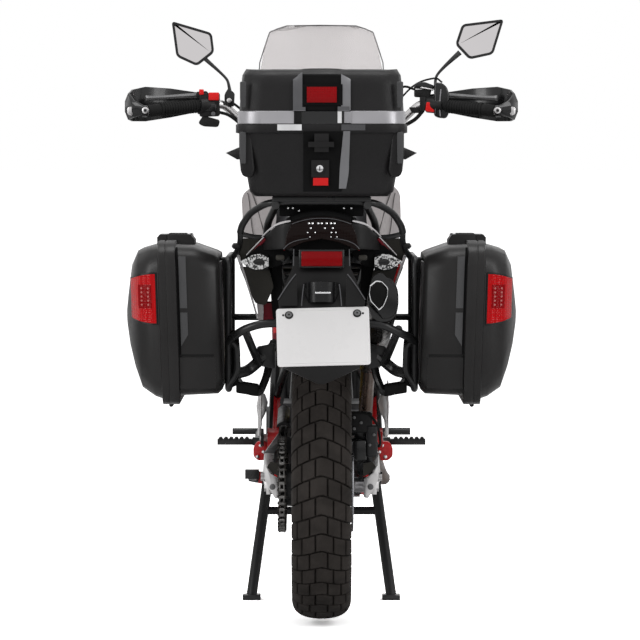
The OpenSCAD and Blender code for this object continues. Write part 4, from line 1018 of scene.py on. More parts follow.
def seat_place(u, y, w):
    """Point of the seat: u from side to side and w from floor to top, both -1 to 1."""
    half = between([(row[0], row[1] / 2) for row in SEAT_ROWS], y)
    top = between([(row[0], row[2]) for row in SEAT_ROWS], y)
    floor = 827.4 + 0.0875 * (300 - y)
    ends = min(1, max(0.0, (y + 20) / 26), max(0.0, (689.7 - y) / 22))
    crown = 1 - 0.2 * abs(u) ** 3.2 - 0.12 * (1 - ends)
    tuck = 1 - 0.1 * max(0, -w) - 0.05 * max(0, w) - 0.1 * (1 - ends)
    height = (w + 1) / 2 * (crown if w > 0 else 1)
    return half * u * tuck, y, floor + (top - floor) * height


def make_seat():
    """Padded cushion with welts, seams and a strap."""
    pad = shaped((-1, -20, -1), (1, 689.7, 1), 22, lambda p: seat_place(p.x, p.y, p.z))
    rounded(pad, 6 * MM, 3, 50)
    for face in pad.data.polygons:
        face.use_smooth = True
    soft = pad.modifiers.new("Soft", "SUBSURF")
    soft.levels = soft.render_levels = 1
    only(pad)
    bpy.ops.object.modifier_apply(modifier=soft.name)
    pad = done(pad, "seat_cushion", "seat_vinyl", "chassis", smooth=60)
    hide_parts("seat")

    def welt(points, name, radius=2.0):
        done(tube([at(*seat_place(*q)) for q in points], radius * MM, 8), name, "seat_welt",
             "chassis")
    rows = [0, 60, 120, 200, 280, 340, 390, 430, 470, 540, 610, 665]
    for s, side in SIDES:
        welt([(s * 0.93, y, 0.72) for y in rows], "seat_welt_" + side)
        welt([(s * 0.52, y, 1.0) for y in rows], "seat_seam_" + side, 1.5)
    across = [u / 8 for u in range(-8, 9)]
    for y in (36, 330, 352, 470, 600):
        welt([(u, y, 1.0 - 0.3 * max(0, abs(u) - 0.86) / 0.14) for u in across],
             "seat_cross_%d" % y, 1.6)
    strap = [at(*seat_place(u, 396, 1.0)) + Vector((0, 0, 0.004)) for u in across]
    done(tube(strap, 5 * MM, 8), "seat_strap", "seat_welt", "chassis")


# Top case: rear face as height and inset from the case's end
CASE_END = -400
CASE_REAR = [(1004, 46), (1015, 32), (1060, 22), (1146, 8), (1147.5, 0), (1166, 0), (1168, 4),
             (1195, 4), (1196.5, 8), (1253, 11), (1275, 17), (1285.5, 26), (1290, 44)]
BAND = (1168, 1195.8)


def case_rear(z):
    return CASE_END + between(CASE_REAR, z)


def make_top_case():
    """Boxier lid, silver band and everything on the rear face of the top case."""
    lid = form["top_case_lid"]
    warp(lid, lambda p: (p.x, p.y, p.z + max(0, p.z - BAND[1]) * 6 / 88))
    centre, reach = (146, 1260), 30

    def boxier(p):
        """Pushes the round upper corners out towards a square."""
        u, v = (abs(p.x) - centre[0]) / reach, (p.z - centre[1]) / reach
        if u <= 0 or v <= 0:
            return p
        grow = math.hypot(u, v) / (u ** 5 + v ** 5) ** 0.2
        return (math.copysign(centre[0] + u * grow * reach, p.x), p.y, centre[1] + v * grow * reach)
    warp(lid, boxier)
    for x in (-62, -45, 43, 66):
        sliced(lid, at(x, 0, 0), (1, 0, 0))
    paint(lid, "case_silver", lambda p, n: BAND[0] < p.z < BAND[1] and (p.x < -62 or p.x > 66))
    paint(lid, "gloss_black", lambda p, n: BAND[0] < p.z < BAND[1] and -62 < p.x < 66)
    lid_end = 1284
    cut = lambda edge, way: lambda x, z: z - max(0, (z - 1262) / 22) * max(0, way * (x - edge)) * 0.7
    strip((-43, 1197), (43, lid_end + 5), case_rear, 2.5, "lid_column", "matt_black", "top_lid")
    strip((-64, 1197), (-43, lid_end), case_rear, 6, "lid_trim_left", "case_grey", "top_lid",
          trim=cut(-43, -1))
    strip((-64, 1196), (-36, 1205), case_rear, 7, "lid_trim_foot", "case_grey", "top_lid")
    strip((44, 1197), (65, lid_end - 5), case_rear, 5, "lid_trim_right", "trim_grey", "top_lid",
          trim=cut(44, 1))
    strip((36, 1196), (62, 1206), case_rear, 6.4, "lid_foot_right", "case_grey", "top_lid")
    strip((36, 1169), (45, 1195), case_rear, 1.6, "band_end_inner", "chrome", "top_lid")
    strip((51, 1169), (67, 1195), case_rear, 1.6, "band_end_outer", "case_silver", "top_lid")
    strip((-42, 1209), (47, 1256), case_rear, 6, "lid_reflector_frame", "matt_black", "top_lid",
          edge=2)
    strip((-33, 1215), (34, 1250), case_rear, 8.5, "lid_reflector", "red_lens", "top_lid",
          edge=1.5)
    strip((-61, 1169.5), (-45, 1194.5), case_rear, 1.2, "lid_recess", "rubber", "top_lid")
    crest = shaped((-66, -330, 0), (66, -60, 1), 8, lambda p: (
        p.x, p.y, 1287 + p.z * 5.5 * max(0, 1 - (abs(p.x) / 66) ** 4)))
    rounded(crest, 1.2 * MM, 2, 50)
    done(crest, "lid_crest", "case_pebble", "top_lid")
    for x0, x1, name, material in ((-99, -44.5, "plate_left", "chrome"),
                                   (44.5, 98, "plate_right", "dark_chrome")):
        strip((x0, 1152.5), (x1, 1166), case_rear, 2.2, name, material, "chassis")
    strip((-41, 1015), (45, 1150), case_rear, 2.5, "base_column", "matt_black", "chassis")
    rib = shaped((0, 0, 1022), (1, 1, 1151), 8, lambda p: (
        between([(1022, 39), (1070, 41), (1151, 49)], p.z)
        + p.x * between([(1022, 16), (1060, 21), (1151, 15)], p.z),
        case_rear(p.z) - (3.5 if p.y < 0.5 else -2), p.z))
    rounded(rib, 1.2 * MM, 2, 50)
    done(rib, "base_rib", "trim_grey", "chassis")
    for s, side in SIDES:
        flank = [(s * 185, 1151), (s * 185, 1098), (s * 181, 1058), (s * 175, 1049), (s * 158, 1046),
                 (s * 150, 1062), (s * 158, 1151)]
        done(rounded(outlined(flank, -384, -190, 5, 3), 5 * MM, 3, 40), "base_flank_" + side,
             "case_pebble", "chassis")
        # Corner strips in a paler pebbled grey: partly the bumper strips' own grey, partly a painted
        # highlight for the light the rounded corners catch
        for name, z0, z1, body, skin in (("base_edge_", 1078, 1149, "chassis", -387),
                                         ("lid_edge_", 1204, 1262, "top_lid", -390)):
            edge = [(s * 183, z1), (s * 183, z0 + 20), (s * 181, z0), (s * 170, z0), (s * 169, z1)]
            done(rounded(outlined(edge, skin - 2, skin + 8, 3, 3), 2 * MM, 3, 40), name + side,
                 "edge_grey", body)
    strip((-30, 1115), (28, 1127), case_rear, 16.5, "base_badge_blank", "case_pebble", "chassis",
          edge=1.6)
    strip((-23, 1047), (17, 1086), case_rear, 6, "lock_housing", "black_plastic", "chassis", edge=2)
    lock_y = case_rear(1066) - 6
    bar_piece((-4, lock_y + 3, 1067), (-4, lock_y - 2, 1067), 12, "lock_ring", "black_plastic",
              "chassis", 1.5)
    bar_piece((-4, lock_y + 3, 1067), (-4, lock_y - 4, 1067), 8, "lock_barrel", "chrome", "chassis")
    box_piece((-5.2, lock_y - 4.6, 1062), (-2.8, lock_y - 3.4, 1072), "lock_slot", "gloss_black",
              "chassis", 0.3)
    strip((-19, 1029), (15, 1046), case_rear, 7.5, "release_button", "button_red", "chassis",
          edge=2.4)


# Side cases: rear faces as distance out from the middle and place behind the case's end
SIDE_END = -280
LID_REAR = [(346, 0), (362, 0), (364, 8), (379, 10), (410, 24), (427, 60), (438, 112), (444, 158)]
BASE_REAR = [(226, 32), (236, 20), (283, 12), (322, 10), (324, 0), (346, 0)]

# How far the top of a side case leans out and sinks against its solid, and from where
CASE_OUT = 10.5
CASE_DOWN = 5.5
CASE_HINGE = 585.0
CASE_HEIGHT = 320.0


def make_side_case(s, side):
    """Lamp, seam, strips, skirt, latch and dock pad of one side case, then the case's lean."""
    lid = side + "_lid"

    def lid_rear(x):
        return SIDE_END + between(LID_REAR, x)

    def base_rear(x):
        return SIDE_END + between(BASE_REAR, x)

    def out(x0, x1):
        return (min(s * x0, s * x1), max(s * x0, s * x1))

    def lid_strip(x0, x1, z0, z1, lift, name, material, **shape):
        a, b = out(x0, x1)
        strip((a, z0), (b, z1), lid_rear, lift, side + name, material, lid, along="x", **shape)

    def base_strip(x0, x1, z0, z1, lift, name, material, **shape):
        a, b = out(x0, x1)
        strip((a, z0), (b, z1), base_rear, lift, side + name, material, "chassis", along="x",
              **shape)

    def taper(x, z):
        """Narrows the lamp toward its outer end, about its middle."""
        return 774 + (z - 774) * (1 - 0.22 * max(0, (abs(x) - 372) / 58) ** 2)

    lid_strip(368, 430, 713, 835, 1.6, "_lamp_frame", "gloss_black", cuts=9, trim=taper)
    lid_strip(371, 429, 717, 831, 3.2, "_lamp", "bright_red_lens", cuts=9, trim=taper, edge=1.4)
    lid_strip(381, 411, 752, 806, 3.9, "_lamp_inner", "red_lens", cuts=6)
    for row in range(5):
        for column in range(2):
            x, z = 388 + 15 * column, 760 + 9.5 * row
            y = lid_rear(x) - 3.6
            bar_piece((s * x, y + 1, z), (s * x, y - 1.4, z), 2.4,
                      "%s_lamp_stud_%d_%d" % (side, row, column), "lamp_pink", lid, 0.7, 12)
    # A groove runs here; its dark strip is painted shade for the shadow inside it, raised rather than
    # cut
    base_strip(243, 321, 640, 645, 0.6, "_case_groove", "rubber", edge=0.3)
    base_strip(240, 321, 566, 638, 2.4, "_case_skirt", "case_plastic", edge=1.8)
    base_strip(300, 316.5, 752, 872, 2.2, "_case_strip_top", "edge_grey", edge=1.0)
    base_strip(300, 316.5, 664, 742, 2.2, "_case_strip_low", "edge_grey", edge=1.0,
               trim=lambda x, z: z + max(0, (700 - z) / 36) * (316.5 - abs(x)) * 1.6)
    base_strip(317, 322, 600, 893, 0.5, "_case_seam", "matt_black", edge=0.2)
    box_piece((out(300, 344)[0], -78, 917), (out(300, 344)[1], 18, 921.5), side + "_latch_lever",
              "black_plastic", "chassis", 1.6)
    bar_piece((s * 296, -30, 914), (s * 296, -30, 921.5), 9, side + "_latch_lock", "chrome",
              "chassis")
    box_piece((out(219, 237)[0], -34, 588), (out(219, 237)[1], 64, 858), side + "_dock_pad",
              "black_plastic", "chassis", 3)

    def leaning(point):
        """Leans outward from the hinge at the case's foot."""
        up = max(0, (point.z - CASE_HINGE) / CASE_HEIGHT)
        return point.x + s * CASE_OUT * up, point.y, point.z - CASE_DOWN * up

    parts = (side + "_lamp", side + "_case", side + "_latch")
    for piece in bpy.data.objects:
        if piece.name.startswith(parts) and piece.name not in nodes:
            warp(piece, leaning)


# Plate, its carrier and the lamps round the tail
DOWN = Vector((0, -0.4015, -0.9158))
OUT = Vector((0, -0.9158, 0.4015))
PLATE_TOP = Vector((0, -333.1, 750.9))
PLATE_TURN = math.radians(-1.6)
PLATE_SHIFT = 4.0
PLATE_MIDDLE = 70


def on_plate(x, along, off):
    """Point on the plate: across, down from its upper edge and off its face, in millimetres.

    The plate sits a little askew on its holder, turned about its middle.
    """
    along -= PLATE_MIDDLE
    x, along = (x * math.cos(PLATE_TURN) - along * math.sin(PLATE_TURN),
                x * math.sin(PLATE_TURN) + along * math.cos(PLATE_TURN))
    along += PLATE_MIDDLE
    return tuple(Vector((x + PLATE_SHIFT, 0, 0)) + PLATE_TOP + DOWN * along + OUT * off)


def make_plate():
    """Blank plate with its bolts, its holder, the hooded lamp and the carrier's wings."""
    plate = form["number_plate"]

    def askew(p):
        off = Vector(p) - PLATE_TOP
        return on_plate(p.x, off.dot(DOWN), off.dot(OUT))
    warp(plate, askew)
    pick(plate, "EDGE", lambda middle, way: abs(way.dot(OUT)) > 0.9)
    bpy.ops.mesh.bevel(offset=7 * MM, segments=6, affect="EDGES")
    pick(plate, "FACE", lambda middle, normal: normal.dot(OUT) > 0.9)
    bpy.ops.mesh.inset(thickness=4.5 * MM, depth=0)
    bpy.ops.mesh.inset(thickness=1.2 * MM, depth=-0.7 * MM)
    bpy.ops.mesh.inset(thickness=1.2 * MM, depth=0.7 * MM)
    object_mode()
    rounded(plate, 0.4 * MM, 2)
    for i, x in enumerate((-76, 78)):
        bar_piece(on_plate(x, 14, -1), on_plate(x, 14, 1.6), 9.5, "plate_washer_%d" % i,
                  "black_plastic", "chassis")
        bar_piece(on_plate(x, 14, 1), on_plate(x, 14, 4.4), 6.5, "plate_bolt_%d" % i, "cast_alloy",
                  "chassis", 1.2)
        bar_piece(on_plate(x, 14, 4), on_plate(x, 14, 4.8), 2.6, "plate_bolt_hex_%d" % i,
                  "gloss_black", "chassis", 0.2, 6)
        bar_piece(on_plate(x + (13 if x > 0 else -13), 14, -1),
                  on_plate(x + (13 if x > 0 else -13), 14, 0.4), 2.6, "plate_hole_%d" % i,
                  "gloss_black", "chassis", 0.2, 12)
    # Holder behind the plate and the hooded lamp over it
    low, high = (-98, 8, -3.2), (98, 132, -0.8)
    holder = shaped(low, high, 2, lambda p: on_plate(p.x, p.y, p.z))
    rounded(holder, 2 * MM, 2)
    done(holder, "plate_holder", "black_plastic", "chassis")

    def hood(point):
        """Hood that juts out most over the plate's middle and falls away to its sides."""
        swell = 1 - (abs(point.x) / 44) ** 2.4
        return point.x, -296 - (34 * swell + 8) * (1 if point.y < 0.5 else 0), point.z + 6 * swell
    piece = shaped((-42, 0, 760), (42, 1, 806), 7, hood)
    rounded(piece, 1.4 * MM, 2, 45)
    done(piece, "plate_lamp_hood", "gloss_black", "chassis")
    for s, side in SIDES:
        wing = [(s * 57, 830), (s * 73, 811), (s * 98, 771), (s * 94, 757), (s * 54, 757)]
        done(rounded(outlined(wing, -336, -322, 3, 3), 1.5 * MM, 2, 45), "carrier_wing_" + side,
             "black_plastic", "chassis")
        edge = [at(s * 58, -337, 829), at(s * 74, -338, 811), at(s * 98.5, -338, 771)]
        done(tube(edge, 1.3 * MM, 8), "carrier_edge_" + side, "case_grey", "chassis")
        # Painted highlight: pale lines down the carrier's edges stand for the light they catch
        post = [at(s * 63, -289, 884), at(s * 63.5, -292, 846)]
        done(tube(post, 1.1 * MM, 8, smooth=False), "carrier_line_" + side, "case_grey", "chassis")
        rib = [at(s * 40, -330, 806), at(s * 44, -338, 780), at(s * 45, -340, 757)]
        done(tube(rib, 1.2 * MM, 8), "carrier_rib_" + side, "case_grey", "chassis")
    box_piece((-15, -343, 784.5), (21, -338, 789), "plate_lamp_glass", "chrome", "chassis", 1.6)


def make_tail():
    """Tail lamp, reflector, stripes and side panels, with an indicator on each side."""
    lamp = form["tail_light"]
    paint(lamp, "red_lens", lambda p, n: p.z < 882 and p.y < -262)
    box_piece((-52, -289, 840), (52, -276, 884), "reflector_frame", "gloss_black", "chassis", 3)
    box_piece((-46, -292, 845), (47, -286, 879), "reflector", "red_lens", "chassis", 2.4)
    top = [(-67, 944), (-40, 955), (0, 959), (40, 955), (67, 944)]
    box_piece((-96, -262, 958), (96, -250, 990), "tail_back", "matt_black", "chassis", 4)
    for x, z in ((-77, 977), (-66, 977), (-52, 970), (50, 977), (67, 977)):
        bar_piece((x, -262, z), (x + 1, -268, z), 2.8, "tail_bolt_%d" % (x + 80), "chrome", "chassis",
                  0.8, 6)
    done(tube([at(x, -280, z + 8) for x, z in top], 7.5 * MM, 12), "lamp_brow", "matt_black",
         "chassis")
    done(tube([at(x, -286, z - 3) for x, z in top], 1.0 * MM, 8), "lamp_brow_edge", "case_grey",
         "chassis")
    sparkles = [(942, (-30, -22, -9, -1, 10, 20, 28)), (931, (-26, 6, 24)), (921, (-33, -16, 21, 31)),
                (911, (-28, 20, 33))]
    for row, (z, places) in enumerate(sparkles):
        for x in places:
            bar_piece((x, -280, z), (x + 1.5, -285, z + 0.8), 3.0 - 0.4 * row,
                      "lamp_jewel_%d_%d" % (row, x + 40), "chrome", "chassis", 0.9, 6)
    sides = [(86, 884), (76, 899), (58, 905), (30, 908)]
    for s, name in SIDES:
        done(tube([at(s * x, -286, z) for x, z in sides], 1.0 * MM, 8), "lamp_line_" + name,
             "case_grey", "chassis")
        box_piece((min(s * 104, s * 84), -270, 858), (max(s * 104, s * 84), -258, 870),
                  "indicator_stalk_" + name, "olive_plastic", "chassis", 4)
    for s, name in SIDES:
        edge = [at(s * x, y, z) for x, y, z in ((70, -278, 948), (87, -270, 945), (105, -254, 940),
                                                (126, -222, 922), (142, -196, 904))]
        done(tube(edge, 2.2 * MM, 8, taper=[0.9, 1.3, 1.1, 0.8, 0.4]), "tail_stripe_" + name,
             "white_plastic", "chassis")
        side = shaped((66, 0, 0), (134, 1, 1), 7, lambda p, s=s: (
            s * p.x, -272 + between([(66, 0), (88, 4), (108, 20), (134, 68)], p.x) + 6 * p.y,
            between([(66, 944), (88, 939), (108, 932), (134, 908)], p.x) * p.z
            + between([(66, 880), (88, 884), (134, 880)], p.x) * (1 - p.z)))
        rounded(side, 1.5 * MM, 2, 45)
        done(side, "tail_side_" + name, "black_plastic", "chassis")
        accent = [at(s * x, y, z) for x, y, z in ((128, -214, 906), (144, -200, 890),
                                                  (160, -190, 870))]
        done(tube(accent, 3.4 * MM, 8), "tail_accent_" + name, "dark_red", "chassis")
        pale = [at(s * x, y, z) for x, y, z in ((132, -216, 910), (150, -200, 892), (172, -192, 868))]
        done(tube(pale, 1.3 * MM, 8), "tail_accent_edge_" + name, "white_plastic", "chassis")
        skirt = [(s * 60, 884), (s * 132, 900), (s * 176, 862), (s * 122, 838), (s * 92, 846)]
        done(outlined(skirt, -206, -196, 4, 3), "tail_skirt_" + name, "matt_black", "chassis")
        make_indicator(s, name)


def leaf_point(s, centre, size, point):
    """Leaf outline: round at the inner end and pointed outside."""
    u = (point.x + 1) / 2
    swell = math.sqrt(max(0, u * (1 - u))) * 2 if u < 0.3 else between(
        [(0.3, 0.917), (0.55, 0.84), (1, 0.06)], u)
    swell = max(swell, 0.5) if u < 0.3 else swell
    return (centre[0] + s * u * size[0], centre[1] - point.y * size[1],
            centre[2] + point.z * swell * size[2] / 2)


def make_indicator(s, name):
    """Leaf-shaped lens with a dark core behind, and an amber lens in front."""
    centre, size = (s * 121, -211, 853), (64, 5, 40)
    ring = shaped((-1, 0, -1), (1, 1, 1), 9, lambda p: leaf_point(s, centre, size, p))
    rounded(ring, 1.2 * MM, 2, 45)
    done(ring, "indicator_lens_" + name, "clear_lens", "chassis")
    hole = round_bar(at(s * 143, -215, 853), at(s * 143, -217.6, 853), 10 * MM, 32)
    middle = at(s * 143, -216, 853)
    hole.data.transform(Matrix.Translation(middle) @ Matrix.Diagonal((1.3, 1, 0.75, 1))
                        @ Matrix.Translation(-middle))
    rounded(hole, 0.6 * MM, 2, 50)
    done(hole, "indicator_core_" + name, "gloss_black", "chassis")
    front = shaped((-1, 0, -1), (1, 1, 1), 6, lambda p: leaf_point(
        s, (s * 178, 1222, 1100), (66, -5, 30), p))
    rounded(front, 1.2 * MM, 2, 45)
    done(front, "front_indicator_lens_" + name, "amber_lens", "chassis")


# Handlebar with what is on it
def bar_lift(p):
    """The bar rises a little from its ends to its bends."""
    return p.x, p.y, p.z + between([(0, 0), (112, 0), (250, 26), (441, 0), (600, 0)], abs(p.x))


def outlined(corners, y0, y1, radius=10, segments=5):
    """Solid from corners seen from behind: a cylinder with as many sides, its points moved."""
    count = len(corners)
    object_mode()
    bpy.ops.object.select_all(action="DESELECT")
    bpy.ops.mesh.primitive_cylinder_add(vertices=count, radius=1, depth=1, location=(0, 0, 0),
                                        rotation=(math.radians(90), 0, 0))
    piece = bpy.context.object
    bpy.ops.object.transform_apply(location=True, rotation=True, scale=True)
    ends = [[v for v in piece.data.vertices if (v.co.y < 0) == (end == 0)] for end in (0, 1)]
    around = lambda v: (math.atan2(v.co.z, v.co.x) + 0.01) % (2 * math.pi)
    middle = (sum(c[0] for c in corners) / count, sum(c[1] for c in corners) / count)
    order = sorted(corners, key=lambda c: math.atan2(c[1] - middle[1], c[0] - middle[0]))
    for end, y in zip(ends, (y0, y1)):
        for vertex, corner in zip(sorted(end, key=around), order):
            vertex.co = at(corner[0], y, corner[1])
    pick(piece, "EDGE", lambda place, way: abs(way.y) > 0.9)
    bpy.ops.mesh.bevel(offset=radius * MM, segments=segments, affect="EDGES", clamp_overlap=True)
    bpy.ops.mesh.select_all(action="SELECT")
    bpy.ops.mesh.remove_doubles(threshold=0.0001)
    object_mode()
    return piece


def framed(piece, width, depth, glass, facing=(0, -1, 0)):
    """Insets the rear face, sinks it and gives it a finish of its own."""
    pick(piece, "FACE", lambda place, normal: normal.dot(Vector(facing)) > 0.98)
    bpy.ops.mesh.inset(thickness=width * MM, depth=0)
    bpy.ops.mesh.inset(thickness=0.6 * MM, depth=-depth * MM)
    object_mode()
    inner = max(piece.data.polygons, key=lambda f: f.area if f.normal.dot(Vector(facing)) > 0.98
                and f.select else 0)
    piece.data.materials.append(finish[glass])
    inner.material_index = 1
    return piece


LEFT_MIRROR = [(-380, 1435), (-278, 1405), (-272, 1356), (-316, 1321), (-368, 1345)]
RIGHT_MIRROR = [(357, 1427), (463, 1440), (436, 1351), (376, 1338), (340, 1376)]


def make_mirrors():
    """Two heads with sunk glass, and their bent stems."""
    for outline, name in ((LEFT_MIRROR, "mirror_left"), (RIGHT_MIRROR, "mirror_right")):
        head = outlined(outline, 884, 906, 9)
        done(head, name, "gloss_black", "steering", smooth=30)
        framed(head, 6, 1.6, "mirror_glass")
        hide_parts("mirrors")
    left = [at(-296, 893, 1340), at(-262, 893, 1310), at(-240, 893, 1290), at(-236, 893, 1278),
            at(-233, 895, 1262), at(-230, 897, 1240)]
    right = [at(352, 893, 1356), at(318, 893, 1326), at(296, 893, 1303), at(290, 893, 1292),
             at(289, 892, 1278), at(289, 890, 1262)]
    done(tube(left, 3.8 * MM, 12, taper=[1.5, 1, 0.9, 0.95, 1.2, 1.5]), "mirror_stem_left",
         "black_steel", "steering")
    done(tube(right, 3.6 * MM, 12, taper=[2, 1.3, 0.95, 1, 1.1, 1.2]), "mirror_stem_right",
         "black_steel", "steering")


def make_handlebar():
    """Grips, guards, levers and the switch gear of both sides."""
    for node in ("handlebar", "hand_controls"):
        warp(form[node], bar_lift)
    for s, side in SIDES:
        along = lambda x: bar_lift(Vector((s * x, 898.3 - (x - 250) * 0.398, 1200 + (x - 250) / 31.8)))
        grip = round_bar(at(*along(310)), at(*along(438)), 15.5 * MM, 32)
        done(rounded(grip, 1.5 * MM, 2), "grip_" + side, "rubber", "steering")
        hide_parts("grips")
        for i in range(13):
            x = 318 + 6.4 * i
            ring = round_bar(at(*along(x)), at(*along(x + 3.6)), 17.2 * MM, 32)
            done(rounded(ring, 0.9 * MM, 2), "grip_ring_%s_%d" % (side, i), "rubber", "steering")
        bar_piece(along(402), along(407), 19, "grip_collar_" + side, "rubber", "steering", 1.5)
        end = along(444)
        bar_piece((end[0], end[1] - 6, end[2] + 2), (end[0], end[1] - 19, end[2] + 2), 8.5,
                  "guard_bolt_" + side, "bare_alloy", "steering", 1.5)
        bar_piece((end[0], end[1] - 12, end[2] + 2), (end[0], end[1] - 19.8, end[2] + 2), 4.4,
                  "guard_bolt_hex_" + side, "gloss_black", "steering", 0.3, 6)
        tip = [(s * 476, 1218), (s * 489, 1216), (s * 489, 1198), (s * 476, 1194)]
        clevis = outlined(tip, 808, 826, 4, 3)
        done(rounded(clevis, 1.2 * MM, 2, 50), "guard_tip_" + side, "bare_alloy", "steering")
        lever = [at(s * 296, 902, 1246), at(s * 318, 900, 1248), at(s * 380, 884, 1243),
                 at(s * 430, 868, 1240), at(s * 446, 862, 1240)]
        done(tube(lever, 5.5 * MM, 12, taper=[1.3, 1.2, 0.9, 0.85, 1.3]), "lever_" + side,
             "cast_alloy", "steering")
        perch = [(s * 283, 1240), (s * 318, 1240), (s * 318, 1256), (s * 290, 1258)]
        done(rounded(outlined(perch, 880, 912, 4, 3), 1.5 * MM, 2, 50), "perch_" + side,
             "black_plastic", "steering")
    # Left: switch block, horn lobe and clutch clamp
    done(rounded(outlined([(-309, 1192), (-258, 1194), (-258, 1254), (-309, 1252)], 868, 914, 6, 4),
                 2 * MM, 3, 50), "switch_block", "black_plastic", "steering")
    done(rounded(outlined([(-313, 1176), (-300, 1168), (-262, 1166), (-257, 1184), (-300, 1196)],
                          872, 900, 6, 4), 2 * MM, 3, 50), "switch_lobe", "black_plastic", "steering")
    box_piece((-286, 862, 1234), (-259, 872, 1254), "switch_red", "button_red", "steering", 2.5)
    box_piece((-310, 864, 1248), (-298, 874, 1262), "switch_small", "button_red", "steering", 2)
    box_piece((-300, 864, 1206), (-266, 870, 1224), "switch_rocker", "gloss_black", "steering", 2)
    bar_piece((-274, 868, 1200), (-274, 861, 1200), 5.5, "switch_knob", "case_grey", "steering")
    done(rounded(outlined([(-246, 1222), (-222, 1218), (-220, 1252), (-236, 1266), (-246, 1250)],
                          884, 912, 4, 3), 1.5 * MM, 2, 50), "clutch_clamp", "gloss_black",
         "steering")
    bar_piece((-234, 884, 1234), (-234, 879, 1234), 6, "clutch_clamp_bolt", "bare_alloy", "steering")
    # Right: throttle housing, stop switch, reservoir and clamp
    housing = [(286, 1196), (296, 1190), (316, 1188), (323, 1200), (324, 1250), (318, 1268),
               (306, 1278), (286, 1280)]
    done(rounded(outlined(housing, 862, 912, 5, 4), 4 * MM, 3, 50), "throttle_housing",
         "gloss_black", "steering")
    # Pale silver line along the housing's seam: the seam is real, its brightness is a painted
    # highlight
    seam = [at(301, 861, 1194), at(298, 860, 1225), at(303, 860, 1262)]
    done(tube(seam, 1.5 * MM, 8), "throttle_seam", "case_silver", "steering")
    done(rounded(outlined([(263, 1206), (288, 1203), (289, 1228), (266, 1230)], 866, 900, 4, 3),
                 2.5 * MM, 3, 50), "stop_switch", "button_red", "steering")
    done(rounded(outlined([(236, 1243), (275, 1240), (280, 1262), (236, 1262)], 880, 924, 4, 3),
                 2 * MM, 2, 50), "brake_cylinder", "black_plastic", "steering")
    done(rounded(outlined([(234, 1265), (284, 1260), (286, 1272), (262, 1281), (240, 1278)],
                          878, 930, 4, 3), 2 * MM, 2, 50), "brake_reservoir", "gloss_black",
         "steering")
    strut = [at(252, 876, 1266), at(268, 876, 1265), at(284, 877, 1260)]
    done(tube(strut, 2.2 * MM, 8), "brake_lever_edge", "bare_alloy", "steering")
    done(rounded(outlined([(249, 1207), (263, 1206), (264, 1243), (250, 1243)], 870, 916, 3, 3),
                 2 * MM, 2, 50), "brake_clamp", "black_plastic", "steering")
    done(rounded(outlined([(222, 1217), (252, 1216), (250, 1202), (230, 1202)], 878, 896, 3, 3),
                 1.5 * MM, 2, 50), "cable_bracket", "black_plastic", "steering")


def run_cable(points, radius, name, body="steering", steps=28):
    """Cable on a smooth curve through points, as a tube that rides on its body."""
    smooth = []
    spots = [Vector(q) for q in points]
    spots = [2 * spots[0] - spots[1]] + spots + [2 * spots[-1] - spots[-2]]
    each = max(4, steps // (len(spots) - 3))
    for a, b, c, d in zip(spots, spots[1:], spots[2:], spots[3:]):
        for i in range(each):
            u = i / each
            smooth.append(0.5 * (2 * b + (c - a) * u + (2 * a - 5 * b + 4 * c - d) * u ** 2
                                 + (3 * b - a - 3 * c + d) * u ** 3))
    smooth.append(spots[-2])
    path = [at(*q) for q in smooth]
    piece = done(tube(path, radius * MM, 8, smooth=False), name, "rubber", body)
    return piece


def make_cables():
    """Cables and hoses from the bar to the steering head."""
    run_cable([(-240, 895, 1238), (-205, 905, 1212), (-150, 960, 1160), (-95, 1040, 1100),
               (-60, 1085, 1020), (-45, 1080, 960)], 3.2, "clutch_cable")
    run_cable([(-262, 890, 1205), (-228, 905, 1192), (-170, 960, 1140), (-105, 1030, 1075),
               (-52, 1070, 985)], 4, "left_loom")
    run_cable([(238, 905, 1262), (205, 925, 1268), (160, 985, 1230), (120, 1060, 1120),
               (112, 1110, 1000), (118, 1170, 860)], 3, "front_brake_hose")
    run_cable([(258, 880, 1208), (238, 892, 1186), (206, 920, 1166), (150, 985, 1120),
               (95, 1045, 1060), (50, 1075, 985)], 5, "right_loom")
    run_cable([(306, 880, 1280), (285, 890, 1290), (230, 915, 1268), (165, 980, 1190),
               (100, 1055, 1090), (48, 1090, 1000)], 2.4, "throttle_cable")


def make_screen():
    """Reshapes the windscreen's outline and runs a thin rim round its edge."""
    screen = form["windscreen"]
    solid = [(1129, 118), (1200, 146), (1290, 161), (1380, 156), (1420, 120), (1437, 86)]
    wanted = [(1129, 118), (1200, 146), (1290, 163), (1328, 162), (1372, 148), (1420, 133),
              (1437, 87)]
    lower = lambda z: z - 6 * max(0, (z - 1390) / 47)
    warp(screen, lambda p: (p.x * between(wanted, p.z) / between(solid, p.z), p.y, lower(p.z)))
    foot = 1069.5
    edge = []
    for z in (1200, 1240, 1290, 1335, 1380, 1400, 1416, 1427, 1436):
        w = between(wanted, z)
        y = foot + between([(1129, 151), (1200, 135), (1290, 117), (1380, 95), (1420, 85),
                             (1436, 81)], z) - 46 * w * w / 26000 + 2
        edge.append((w, y, lower(z)))
    top = [at(-60, foot + 77, 1431), at(0, foot + 81, 1432), at(60, foot + 77, 1431)]
    line = [at(-x, y, z) for x, y, z in edge] + top + [at(*q) for q in reversed(edge)]
    done(tube(line, 1.5 * MM, 8, smooth=False), "screen_edge", "screen_rim", "chassis")


# Floor, light and camera. The world's strength as light on the object and as seen by the camera
LIGHT_ON_OBJECT = 0.42
LIGHT_SEEN = 1.0
FLOOR_SIZE = 400


